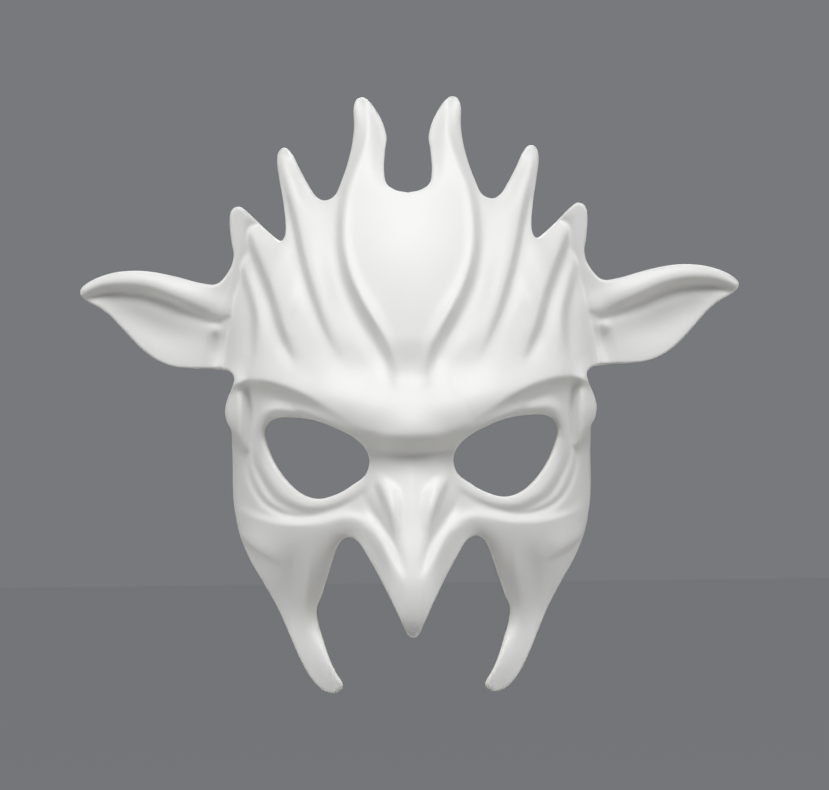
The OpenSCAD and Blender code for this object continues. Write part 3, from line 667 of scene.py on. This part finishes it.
def finish(obj, mat, slotName, body, *nodes):
    # what every finished piece is told: its material, the CAD nodes it stands for and its body. Its slot name is
    # not used.
    weld(obj)
    if mat:
        obj.data.materials.append(mat)
    if nodes:
        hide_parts(*nodes)
    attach(obj, body)
    return obj


def buildShell():
    half, eye = rimLoops()
    fine = shellMesh["rimSample"]
    rim = np.vstack([evenSteps(half, fine), evenSteps(eye, fine, True)])
    rimTree = kdtree.KDTree(len(rim))
    for i, p in enumerate(rim):
        rimTree.insert((p[0], p[1], 0), i)
    rimTree.balance()
    points, faces, insideMark = [], [], []
    count = 0
    for outer, step in ((True, shellMesh["frontStep"]), (False, shellMesh["backStep"])):
        verts, tris = halfSheet(step, half, eye, rimTree)
        sheet, tris = mirrorSheet(shellPoints(verts, rimTree, outer), tris)
        faces.append((tris if outer else tris[:, ::-1]) + count)
        points.append(sheet)
        insideMark.append(np.full(len(sheet), 0.0 if outer else 1.0))
        count += len(sheet)
    obj = makeMesh("mask_casting", np.vstack(points), np.vstack(faces))
    mark = obj.data.attributes.new("inside", "FLOAT", "POINT")
    mark.data.foreach_set("value", np.concatenate(insideMark))
    gaps = weld(obj)
    print("shell:", len(obj.data.polygons), "triangles,", gaps, "open edges")
    return obj


def castingMaterial():
    # cast neoprene rubber: chalk-white, satin, a very fine tooth from the plaster mould, a few pinholes,
    # and a rougher, slightly yellower inner face where the rubber dried in the open
    mat, tree, place = newMaterial("cast_neoprene_white")
    cloud = addNode(tree, "ShaderNodeTexNoise", {"Scale": 1 / (36 * mm), "Detail": 3.0}, {"Vector": place})
    tone = addNode(tree, "ShaderNodeMix", {"data_type": "RGBA", 6: linear("#E7E7E6"), 7: linear("#DFDFDD")},
                   {0: cloud.outputs["Fac"]})
    mark = addNode(tree, "ShaderNodeAttribute", {"attribute_name": "inside"}).outputs["Fac"]
    sides = addNode(tree, "ShaderNodeMix", {"data_type": "RGBA", 7: linear("#DAD7CD")},
                    {0: mark, 6: tone.outputs[2]})
    tooth = addNode(tree, "ShaderNodeTexNoise", {"Scale": 1 / (1.1 * mm), "Detail": 2.0}, {"Vector": place})
    holes = addNode(tree, "ShaderNodeTexVoronoi", {"Scale": 1 / (8.3 * mm)}, {"Vector": place})
    pinhole = addNode(tree, "ShaderNodeMapRange",
                      {"From Min": 0.02, "From Max": 0.05, "To Min": -2.0, "To Max": 0.0},
                      {"Value": holes.outputs["Distance"]})
    height = addNode(tree, "ShaderNodeMath", {"operation": "ADD"}, {0: tooth.outputs["Fac"], 1: pinhole.outputs[0]})
    rough = addNode(tree, "ShaderNodeMapRange", {"To Min": 0.48, "To Max": 0.74}, {"Value": mark})
    bump = addNode(tree, "ShaderNodeBump", {"Strength": 0.12, "Distance": 0.2 * mm}, {"Height": height.outputs[0]})
    endMaterial(tree, {"IOR": 1.5},
                {"Base Color": sides.outputs[2], "Roughness": rough.outputs[0], "Normal": bump.outputs[0]})
    return mat


casting = buildShell()
casting.data.materials.append(castingMaterial())
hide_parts("mask_shell")
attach(casting, "mask")
print("shell built")

# foam pads bonded inside the shell
pads = {
    # the two ends in x, then z from and to, and how far the corners are rounded
    "brow_pad": (-35, 35, 40, 60, 6),
    "bridge_pad": (-10, 10, -10, 5, 4),
    "left_cheek_pad": (45, 64.5, -44, -25, 7),
    "right_cheek_pad": (-64.5, -45, -44, -25, 7),
}
padding = {
    "thick": 8,
    "glue": 0.5,              # from the casting's inner face
    "startInset": 1.4,        # the foam starts this much smaller and swells out
    "voxel": 1.1,
    "bonded": 1.2,            # foam this near the casting doesn't move
    "pressure": 4,
    "frames": 20,
    "cap": 1.6,               # the furthest that a point may swell
    "crown": 0.8,             # the cushioned middle of the side that meets the face
    "crownFlat": 0.35,        # share of the way to the edge where the crown starts to fall
    "crownFrom": 3, "crownFade": 4,      # how far from the casting it starts, and over what depth
    "fan": (1, 0.8, 0.55, 0.28),         # sizes of the loops on each face before swelling
    "ease": 8,                # rounds of smoothing after the swelling
    "clear": 0.35, "clearAtEnd": 0.3,    # never nearer the casting
    "fill": 0.8,
}


def foamMaterial():
    # closed-cell neoprene foam: charcoal, dead matt, with the fine open cells of a cut face
    mat, tree, place = newMaterial("charcoal_neoprene_foam")
    cells = addNode(tree, "ShaderNodeTexVoronoi", {"Scale": 1 / (0.7 * mm)}, {"Vector": place})
    cloud = addNode(tree, "ShaderNodeTexNoise", {"Scale": 1 / (17 * mm), "Detail": 4.0}, {"Vector": place})
    tone = addNode(tree, "ShaderNodeMix", {"data_type": "RGBA", 6: linear("#3B3D40"), 7: linear("#2C2D30")},
                   {0: cloud.outputs["Fac"]})
    bump = addNode(tree, "ShaderNodeBump", {"Strength": 0.55, "Distance": 0.3 * mm},
                   {"Height": cells.outputs["Distance"]})
    endMaterial(tree, {"Roughness": 0.92, "IOR": 1.45, "Sheen Weight": 0.15},
                {"Base Color": tone.outputs[2], "Normal": bump.outputs[0]})
    return mat


def roundedLoop(x0, x1, z0, z1, r, per=6):
    # corners rounded, points in order round a rectangle
    made = []
    for cx, cz, start in ((x1 - r, z1 - r, 0), (x0 + r, z1 - r, 90), (x0 + r, z0 + r, 180), (x1 - r, z0 + r, 270)):
        for k in range(per + 1):
            a = math.radians(start + 90 * k / per)
            made.append((cx + r * math.cos(a), cz + r * math.sin(a)))
    return np.array(made)


def closedBlock(name, loop, behind, face):
    # a fan of shrinking copies of a loop on each of two surfaces, joined at its edge
    centre, shares = loop.mean(axis=0), padding["fan"]
    n, points, faces = len(loop), [], []
    half = n * len(shares) + 1
    for surface, base in ((behind, 0), (face, half)):
        for share in shares:
            ring = centre + (loop - centre) * share
            points += [(p[0], d, p[1]) for p, d in zip(ring, surface(ring))]
        points.append((centre[0], surface(centre[None])[0], centre[1]))
        inner = base + half - 1 - n
        faces += gridFaces(len(shares), n, closedRows=False, first=base)
        faces += [(inner + i, inner + (i + 1) % n, base + half - 1) for i in range(n)]
    faces += [(i, (i + 1) % n, half + (i + 1) % n, half + i) for i in range(n)]
    return makeMesh(name, points, faces)


def applied(obj):
    # the mesh with its modifiers in it
    made = bpy.data.meshes.new_from_object(obj.evaluated_get(bpy.context.evaluated_depsgraph_get()))
    obj.modifiers.clear()
    old = obj.data
    obj.data = made
    bpy.data.meshes.remove(old)
    return obj


def places(mesh):
    co = np.zeros(len(mesh.vertices) * 3)
    mesh.vertices.foreach_get("co", co)
    return co.reshape(-1, 3) / mm


def movePlaces(mesh, co):
    mesh.vertices.foreach_set("co", (co * mm).ravel())
    mesh.update()


def swell(obj, held):
    # foam blown up like a cushion by cloth simulation, held where it is bonded to the casting
    pins = obj.vertex_groups.new(name="bonded")
    pins.add([int(i) for i in np.flatnonzero(held)], 1.0, "REPLACE")
    cloth = obj.modifiers.new("swell", "CLOTH")
    cloth.settings.use_pressure = True
    cloth.settings.uniform_pressure_force = padding["pressure"]
    cloth.settings.vertex_group_mass = "bonded"
    cloth.settings.effector_weights.gravity = 0
    for step in range(padding["frames"]):
        scene.frame_set(step + 1)
    applied(obj)
    scene.frame_set(1)


def buildPad(name, foam):
    x0, x1, z0, z1, r = pads[name]
    middle, halfSize = np.array([x0 + x1, z0 + z1]) / 2, np.array([x1 - x0, z1 - z0]) / 2
    inset = padding["startInset"]

    def behind(ring):
        return form.wall(ring, padding["glue"])

    def bend(ring):
        # a plain bent sheet, without the ridges of the casting
        u, v = (ring - middle).T
        return np.column_stack([np.ones(len(u)), u, v, u * u, v * v])
    grid = np.array([(x, z) for x in np.linspace(x0, x1, 24) for z in np.linspace(z0, z1, 12)])
    fit = np.linalg.lstsq(bend(grid), behind(grid), rcond=None)[0]
    loop = roundedLoop(x0 + inset, x1 - inset, z0 + inset, z1 - inset, r)
    obj = closedBlock(name + "_foam", loop, behind, lambda ring: bend(ring) @ fit + padding["thick"] - inset)
    weld(obj)
    remesh = obj.modifiers.new("remesh", "REMESH")
    remesh.mode, remesh.voxel_size = "VOXEL", padding["voxel"] * mm
    applied(obj)
    start = places(obj.data)
    swell(obj, start[:, 1] < form.wall(start, padding["bonded"] + padding["glue"]))
    moved = places(obj.data) - start
    far = np.linalg.norm(moved, axis=1, keepdims=True)
    now = start + moved * np.minimum(1, padding["cap"] / np.maximum(far, 1e-6))
    # cushioned crown on the side that meets the face, and never into the casting
    edge = (np.abs(now[:, [0, 2]] - middle) / halfSize).max(axis=1)
    wall = form.wall(now, padding["clear"])
    flat = padding["crownFlat"]
    deep = fade((now[:, 1] - wall - padding["crownFrom"]) / padding["crownFade"])
    crown = padding["crown"] * (1 - fade((edge - flat) / (1 - flat))) * deep
    now[:, 1] = np.maximum(now[:, 1] + crown, wall)
    movePlaces(obj.data, now)
    ease = obj.modifiers.new("ease", "SMOOTH")
    ease.factor, ease.iterations = 0.5, padding["ease"]
    finer = obj.modifiers.new("finer", "SUBSURF")
    finer.levels = finer.render_levels = 1
    applied(obj)
    now = places(obj.data)
    now[:, 1] = np.maximum(now[:, 1], form.wall(now, padding["clearAtEnd"]))
    movePlaces(obj.data, now)
    obj.vertex_groups.clear()
    finish(obj, foam, "foam", "mask", name)
    shadeSmooth(obj.data)
    print(name, len(obj.data.polygons), "faces")


foam = foamMaterial()
for padName in pads:
    buildPad(padName, foam)

# press studs on both temples
studs = {
    "y": 21, "z": 48,         # the axis runs along x through here
    "steps": 72,
    "bossRadius": 10, "bossFace": 66, "bossDeep": 10.6,
    # the boss's round face: radius, distance in from the face
    "bossRings": [(0, 0), (6.2, 0), (8.6, 0), (9.16, 0.14), (9.72, 0.63), (10, 1.4)],
    "bossShares": (1, 0.97, 0.85, 0.6, 0.3, 0),    # rings on the side that the casting meets
    "bossLeast": 1.6,         # shortest stretch of its side
    "bossGap": 0.4,           # from the casting
    "bossFrom": 40, "halvings": 22,      # the search for the casting beside the boss
    # turned shapes: distance from the middle plane, radius
    "stud": [
        (62.2, 0), (62.2, 1.6), (62.35, 2.15), (62.7, 2.5), (63.1, 2.42), (63.5, 2.05), (64.2, 1.95), (64.8, 2.05),
        (65, 2.5), (65, 4.5), (65.15, 4.85), (65.5, 5), (66, 5), (66, 0)],
    "socket": [
        (63.6, 2.85), (62.1, 2.85), (61.9, 3.1), (61.9, 5.5), (62.05, 5.85), (62.4, 6), (62.9, 5.95), (63.3, 5.6),
        (63.5, 5), (63.9, 4.6), (64.4, 4.4), (64.7, 4), (64.7, 2.6), (64.55, 2.2), (64.1, 2.08), (63.7, 2.2)],
    # the same, from where the cap starts
    "cap": [
        (0, 0), (0.04, 1.8), (0.16, 3.4), (0.36, 4.7), (0.62, 5.6), (0.9, 5.98), (1.1, 5.95), (1.2, 5.7),
        (1.2, 1.5)],
    "capShank": (61.9, 1.5),  # both shanks end at the socket
    "capStart": {"left": 57.9, "right": 59.5},
}


def turned(name, side, profile, closed=False):
    # a turned piece about the stud axis
    points = []
    for k in range(studs["steps"]):
        a = 2 * math.pi * k / studs["steps"]
        points += [(side * x, studs["y"] + r * math.cos(a), studs["z"] + r * math.sin(a)) for x, r in profile]
    return makeMesh(name, points, gridFaces(studs["steps"], len(profile), closedAcross=closed))


def bossOuter(y, z):
    # how far out the casting's inner face is beside the stud axis, found by halving
    low, high = float(studs["bossFrom"]), float(studs["bossFace"] + studs["bossDeep"])
    for _ in range(studs["halvings"]):
        half = (low + high) / 2
        if form.wall(np.array([[half, z]]), studs["bossGap"])[0] < y:
            low = half
        else:
            high = half
    return low


def buildBoss(name, side, rubber):
    face, radius, points = studs["bossFace"], studs["bossRadius"], []
    least = face + studs["bossLeast"]
    for k in range(studs["steps"]):
        a = 2 * math.pi * k / studs["steps"]
        c, s = math.cos(a), math.sin(a)
        points += [(face + x, studs["y"] + r * c, studs["z"] + r * s) for r, x in studs["bossRings"]]
        for share in studs["bossShares"]:
            y, z = studs["y"] + share * radius * c, studs["z"] + share * radius * s
            points.append((max(bossOuter(y, z), least), y, z))
    points = np.array(points)
    points[:, 1] = np.maximum(points[:, 1], form.wall(points, studs["bossGap"]))
    faces = gridFaces(studs["steps"], len(points) // studs["steps"], closedAcross=False)
    finish(makeMesh(name + "_rubber", points * (side, 1, 1), faces), rubber, "boss", "mask", name)


# moulded black rubber: near-black grey, soft sheen, a faint moulding grain
rubber = grainedMaterial("moulded_black_rubber", "#26272A", 0.9, 3.0, (0.5, 0.68), 0.2, 0.2, {"IOR": 1.52})
# nickel-plated brass: warm grey metal, clear reflections, hair-fine wear
nickel = grainedMaterial("nickel_plated_brass", "#C9C7C1", 0.625, 3.0, (0.2, 0.27), 0.02, 0.1, {"Metallic": 1.0})
for side, word in ((1, "left"), (-1, "right")):
    buildBoss(word + "_stud_boss", side, rubber)
    finish(turned(word + "_stud_turned", side, studs["stud"]), nickel, "stud", "mask", word + "_stud")
    finish(turned(word + "_socket_turned", side, studs["socket"], True), nickel, "stud", "head_strap",
           word + "_socket")
    start, (shankEnd, shankRadius) = studs["capStart"][word], studs["capShank"]
    capShape = [(start + x, r) for x, r in studs["cap"]] + [(shankEnd, shankRadius), (shankEnd, 0)]
    finish(turned(word + "_cap_turned", side, capShape), nickel, "stud", "head_strap", word + "_cap")
print("press studs built")

strap = {
    "z": 48, "width": 20, "thick": 1.6, "tabThick": 1.2,    # level with the press studs
    "ringX": -59.5, "ringFront": 37, "ringRear": 45, "ringHalf": 11.5, "ringCorner": 1.5,
    "wire": 1.1, "wireSides": 20,
    # x of the elastic's two sides, then y where its arc starts and where its ends are
    "left": 59.9, "right": -57.5, "arcY": 81, "frontEnd": 11, "returnEnd": 79,
    "elasticBend": 2.0,       # middle of the elastic round the ring's rear bar
    "tabMiddle": 61.3, "tabBend": 1.8, "leftTabEnd": 39,
    # ribs to each side of the middle, how deep they are, and points round the section
    "elasticRibs": (15, 0.16, 196), "webbingRibs": (10, 0.1, 136),
    "stitch": 2.6, "thread": 0.28, "seed": 7,
    "seamHalf": 7.6,          # seams run this far above and below the middle of the strap
    "boxSeam": (29.4, 36.6), "barSeams": (29.6, 31.8), "returnSeam": 76.4,    # y of each
    "pathStep": 5, "tabStep": 4, "ringStep": 0.7,      # between points on straight runs
    "arcTurn": 3, "bendTurn": 10,        # degrees between points on the arc and on the bends
    "tabFold": -108,          # degrees at which the folded tab ends
    "sliderSoft": 0.45,
    "sliderFlat": 2,          # degrees, faces that differ by less become one
}


def arcPoints(cx, cy, r, start, end, step):
    count = max(2, round(abs(end - start) / step))
    return [(cx + r * math.cos(math.radians(a)), cy + r * math.sin(math.radians(a)))
            for a in np.linspace(start, end, count + 1)]


def line2d(a, b, spacing):
    count = max(1, round(math.dist(a, b) / spacing))
    return [tuple(np.array(a) + (np.array(b) - np.array(a)) * k / count) for k in range(count + 1)]


def joined(*runs):
    # one path from several, without the points they share
    made = list(runs[0])
    for run in runs[1:]:
        made += run[1:] if math.dist(run[0], made[-1]) < 1e-6 else run
    return np.array(made)


def newTree(name, **inputs):
    # an empty node tree with geometry in and out, and named inputs that the modifier fills in
    tree = bpy.data.node_groups.new(name, "GeometryNodeTree")
    tree.interface.new_socket("Geometry", in_out="INPUT", socket_type="NodeSocketGeometry")
    for label, kind in inputs.items():
        tree.interface.new_socket(label, in_out="INPUT", socket_type="NodeSocket" + kind)
    tree.interface.new_socket("Geometry", in_out="OUTPUT", socket_type="NodeSocketGeometry")
    return tree, addNode(tree, "NodeGroupInput").outputs


def endTree(tree, geometry, mat):
    real = addNode(tree, "GeometryNodeRealizeInstances", None, {0: geometry})
    dressed = addNode(tree, "GeometryNodeSetMaterial", {"Material": mat}, {"Geometry": real.outputs[0]})
    addNode(tree, "NodeGroupOutput", None, {0: dressed.outputs[0]})


def sweepTree(name, mat, profilePoints):
    # flat webbing along a path of bare edges: the section is a rounded bar whose two faces are ribbed lengthwise
    tree, given = newTree(name, halfWidth="Float", halfThick="Float", ribs="Float", ribDeep="Float")
    path = addNode(tree, "GeometryNodeMeshToCurve", None, {"Mesh": given["Geometry"]})
    upright = addNode(tree, "GeometryNodeSetCurveNormal", {"mode": "Z_UP"}, {"Curve": path.outputs[0]})
    wide = addNode(tree, "ShaderNodeMath", {"operation": "MULTIPLY", 1: 2.0}, {0: given["halfWidth"]})
    thick = addNode(tree, "ShaderNodeMath", {"operation": "MULTIPLY", 1: 2.0}, {0: given["halfThick"]})
    bar = addNode(tree, "GeometryNodeCurvePrimitiveQuadrilateral", {"mode": "RECTANGLE"},
                  {"Width": thick.outputs[0], "Height": wide.outputs[0]})
    corner = addNode(tree, "ShaderNodeMath", {"operation": "MULTIPLY", 1: 0.8}, {0: given["halfThick"]})
    soft = addNode(tree, "GeometryNodeFilletCurve", {"mode": "POLY", "Count": 4},
                   {"Curve": bar.outputs[0], "Radius": corner.outputs[0]})
    fine = addNode(tree, "GeometryNodeResampleCurve", {"Count": profilePoints}, {"Curve": soft.outputs[0]})
    spot = addNode(tree, "ShaderNodeSeparateXYZ", None, {0: addNode(tree, "GeometryNodeInputPosition").outputs[0]})
    # ribs: the flat faces rise and fall as a cosine across the width
    across = addNode(tree, "ShaderNodeMath", {"operation": "DIVIDE"}, {0: spot.outputs[1], 1: given["halfWidth"]})
    turns = addNode(tree, "ShaderNodeMath", {"operation": "MULTIPLY"}, {0: across.outputs[0], 1: given["ribs"]})
    angle = addNode(tree, "ShaderNodeMath", {"operation": "MULTIPLY", 1: math.pi}, {0: turns.outputs[0]})
    wave = addNode(tree, "ShaderNodeMath", {"operation": "COSINE"}, {0: angle.outputs[0]})
    sink = addNode(tree, "ShaderNodeMapRange", {"From Min": -1.0, "From Max": 1.0, "To Min": 0.0},
                   {"Value": wave.outputs[0], "To Max": given["ribDeep"]})
    side = addNode(tree, "ShaderNodeMath", {"operation": "DIVIDE"}, {0: spot.outputs[0], 1: given["halfThick"]})
    push = addNode(tree, "ShaderNodeMath", {"operation": "MULTIPLY"}, {0: side.outputs[0], 1: sink.outputs[0]})
    back = addNode(tree, "ShaderNodeMath", {"operation": "MULTIPLY", 1: -1.0}, {0: push.outputs[0]})
    offset = addNode(tree, "ShaderNodeCombineXYZ", None, {0: back.outputs[0]})
    ribbed = addNode(tree, "GeometryNodeSetPosition", None,
                     {"Geometry": fine.outputs[0], "Offset": offset.outputs[0]})
    swept = addNode(tree, "GeometryNodeCurveToMesh", {"Fill Caps": True},
                    {"Curve": upright.outputs[0], "Profile Curve": ribbed.outputs[0]})
    endTree(tree, swept.outputs[0], mat)
    return tree


def baked(source, tree, values):
    # runs a node tree on an object and keeps the plain result
    grown = source.modifiers.new("grow", "NODES")
    grown.node_group = tree
    for socket in tree.interface.items_tree:
        if socket.in_out == "INPUT" and socket.name in values:
            grown[socket.identifier] = values[socket.name]
    shadeSmooth(applied(source).data)
    return source


def sweepAlong(name, path, mat, thick, ribs):
    # webbing along a path in the plane of the strap
    count, deep, profilePoints = ribs
    points = [(x, y, strap["z"]) for x, y in path]
    source = makeMesh(name, points, [], None, [(i, i + 1) for i in range(len(points) - 1)])
    sizes = {"halfWidth": strap["width"] / 2 * mm, "halfThick": thick / 2 * mm, "ribs": float(count),
             "ribDeep": deep * mm}
    return baked(source, sweepTree(name + "_sweep", mat, profilePoints), sizes)


def wovenMaterial(name, light, dark, pick):
    # polyester or nylon yarn: dark, matt, with a little sheen from its fibres
    # pick is the spacing of the cross threads, in mm and drawn coarser than real ones so that they show
    mat, tree, place = newMaterial(name)
    picks = addNode(tree, "ShaderNodeTexNoise", {"Scale": 1 / (0.67 * mm), "Detail": 2.0}, {"Vector": place})
    spot = addNode(tree, "ShaderNodeSeparateXYZ", None, {0: place})
    run = addNode(tree, "ShaderNodeMath", {"operation": "ADD"}, {0: spot.outputs[0], 1: spot.outputs[1]})
    turns = addNode(tree, "ShaderNodeMath", {"operation": "MULTIPLY", 1: 2 * math.pi / (pick * mm)},
                    {0: run.outputs[0]})
    wave = addNode(tree, "ShaderNodeMath", {"operation": "SINE"}, {0: turns.outputs[0]})
    weave = addNode(tree, "ShaderNodeMapRange", {"From Min": -1.0, "From Max": 1.0}, {"Value": wave.outputs[0]})
    mixed = addNode(tree, "ShaderNodeMix", {"data_type": "FLOAT", 0: 0.45},
                    {2: weave.outputs[0], 3: picks.outputs["Fac"]})
    tone = addNode(tree, "ShaderNodeMix", {"data_type": "RGBA", 6: linear(dark), 7: linear(light)},
                   {0: mixed.outputs[0]})
    bump = addNode(tree, "ShaderNodeBump", {"Strength": 0.5, "Distance": 0.15 * mm}, {"Height": mixed.outputs[0]})
    endMaterial(tree, {"Roughness": 0.85, "IOR": 1.5, "Sheen Weight": 0.25},
                {"Base Color": tone.outputs[2], "Normal": bump.outputs[0]})
    return mat


def buildRing():
    # round wire bent into a rounded rectangle
    half, r, sides, points = strap["ringHalf"], strap["wire"], strap["wireSides"], []
    loop = roundedLoop(strap["ringFront"], strap["ringRear"], strap["z"] - half, strap["z"] + half,
                       strap["ringCorner"], 8)
    loop = evenSteps(loop, strap["ringStep"], True)
    for p, n in zip(loop, -inward(loop, True, loop)):
        for k in range(sides):
            a = 2 * math.pi * k / sides
            y, z = p + r * math.cos(a) * n
            points.append((strap["ringX"] + r * math.sin(a), y, z))
    finish(makeMesh("ring_wire", points, gridFaces(len(loop), sides)), nickel, "stud", "head_strap",
           "adjuster_ring")


def buildStrap():
    elastic = wovenMaterial("woven_elastic", "#2A2B2E", "#121214", 1.21)
    nylon = wovenMaterial("nylon_webbing", "#303135", "#17181A", 1.75)
    left, right, arcY = strap["left"], strap["right"], strap["arcY"]
    ringX, front, rear = strap["ringX"], strap["ringFront"], strap["ringRear"]
    tab, bend, start = strap["tabMiddle"], strap["elasticBend"], strap["frontEnd"]
    step, tabStep, turn = strap["pathStep"], strap["tabStep"], strap["bendTurn"]
    loopPath = joined(
        line2d((left, start), (left, arcY), step),
        arcPoints((left + right) / 2, arcY, (left - right) / 2, 0, 180, strap["arcTurn"]),
        line2d((right, arcY), (right, rear), step),
        arcPoints(ringX, rear, bend, 0, -180, turn),
        line2d((ringX - bend, rear), (ringX - bend, strap["returnEnd"]), step))
    leftPath = line2d((tab, start), (tab, strap["leftTabEnd"]), tabStep)
    rightPath = joined(line2d((-tab, start), (-tab, front), tabStep),
                       arcPoints(ringX, front, strap["tabBend"], 180, strap["tabFold"], turn))
    for name, path, mat, thick, ribs, slotName, node in (
            ("elastic_woven", loopPath, elastic, strap["thick"], strap["elasticRibs"], "elastic", "elastic_strap"),
            ("left_tab_webbing", leftPath, nylon, strap["tabThick"], strap["webbingRibs"], "tab", "left_tab"),
            ("right_tab_webbing", rightPath, nylon, strap["tabThick"], strap["webbingRibs"], "tab", "right_tab")):
        finish(sweepAlong(name, path, mat, thick, ribs), None, slotName, "head_strap", node)


def stitchTree(mat):
    # thread stitches laid end to end along paths of bare edges, each turned to its path and a little uneven
    tree, given = newTree("stitch_rows", pitch="Float", threadRadius="Float", seed="Int")
    path = addNode(tree, "GeometryNodeMeshToCurve", None, {"Mesh": given["Geometry"]})
    spaced = addNode(tree, "GeometryNodeResampleCurve", {"mode": "LENGTH"},
                     {"Curve": path.outputs[0], "Length": given["pitch"]})
    bead = addNode(tree, "GeometryNodeMeshUVSphere", {"Segments": 8, "Rings": 6, "Radius": 1.0})
    along = addNode(tree, "GeometryNodeInputTangent")
    turn = addNode(tree, "FunctionNodeAlignRotationToVector", {"axis": "X"}, {"Vector": along.outputs[0]})
    length = addNode(tree, "ShaderNodeMath", {"operation": "MULTIPLY", 1: 0.42}, {0: given["pitch"]})
    size = addNode(tree, "ShaderNodeCombineXYZ", None,
                   {0: length.outputs[0], 1: given["threadRadius"], 2: given["threadRadius"]})
    uneven = addNode(tree, "FunctionNodeRandomValue", {"data_type": "FLOAT", "Min": 0.88, "Max": 1.06},
                     {"Seed": given["seed"]})
    scaled = addNode(tree, "ShaderNodeVectorMath", {"operation": "SCALE"},
                     {0: size.outputs[0], "Scale": uneven.outputs[1]})
    laid = addNode(tree, "GeometryNodeInstanceOnPoints", None,
                   {"Points": spaced.outputs[0], "Instance": bead.outputs[0], "Rotation": turn.outputs[0],
                    "Scale": scaled.outputs[0]})
    endTree(tree, laid.outputs[0], mat)
    return tree


def buildStitches():
    thread = wovenMaterial("bonded_nylon_thread", "#55575B", "#2C2D30", 0.7)
    tabFace = strap["tabMiddle"] + strap["tabThick"] / 2
    inner = strap["left"] - strap["thick"] / 2
    returnFace = strap["ringX"] - strap["elasticBend"] - strap["thick"] / 2
    low, high = strap["z"] - strap["seamHalf"], strap["z"] + strap["seamHalf"]
    near, far = strap["boxSeam"]
    box = [(near, low), (far, low), (far, high), (near, high), (near, low)]
    rows = [(tabFace, box), (inner, box)]
    rows += [(face, [(y, low), (y, high)]) for face in (-tabFace, strap["tabThick"] - tabFace)
             for y in strap["barSeams"]]
    rows.append((returnFace, [(strap["returnSeam"], low), (strap["returnSeam"], high)]))
    points = [(x, *end) for x, row in rows for pair in zip(row[:-1], row[1:]) for end in pair]
    edges = [(i, i + 1) for i in range(0, len(points), 2)]
    sizes = {"pitch": strap["stitch"] * mm, "threadRadius": strap["thread"] * mm, "seed": strap["seed"]}
    source = makeMesh("strap_stitches", points, [], None, edges)
    finish(baked(source, stitchTree(thread), sizes), None, "tab", "head_strap")


def buildSlider():
    # the CAD form with every edge softened
    node = bpy.data.objects["strap_slider"]
    obj = bpy.data.objects.new("slider_moulding", node.data.copy())
    scene.collection.objects.link(obj)
    weld(obj)
    bm = bmesh.new()
    bm.from_mesh(obj.data)
    flat = math.radians(strap["sliderFlat"])
    bmesh.ops.dissolve_limit(bm, angle_limit=flat, verts=bm.verts, edges=bm.edges)
    bm.to_mesh(obj.data)
    bm.free()
    obj.data.materials.clear()
    soft = obj.modifiers.new("soft", "BEVEL")
    soft.width, soft.segments, soft.limit_method = strap["sliderSoft"] * mm, 3, "ANGLE"
    applied(obj)
    # moulded acetal: black, hard and slightly glossy, with a fine moulded texture
    acetal = grainedMaterial("black_acetal_plastic", "#161719", 0.5, 2.0, (0.3, 0.42), 0.12, 0.1, {"IOR": 1.48})
    finish(obj, acetal, "slider", "slider", "strap_slider")


buildRing()
buildStrap()
buildStitches()
buildSlider()
print("head strap built")
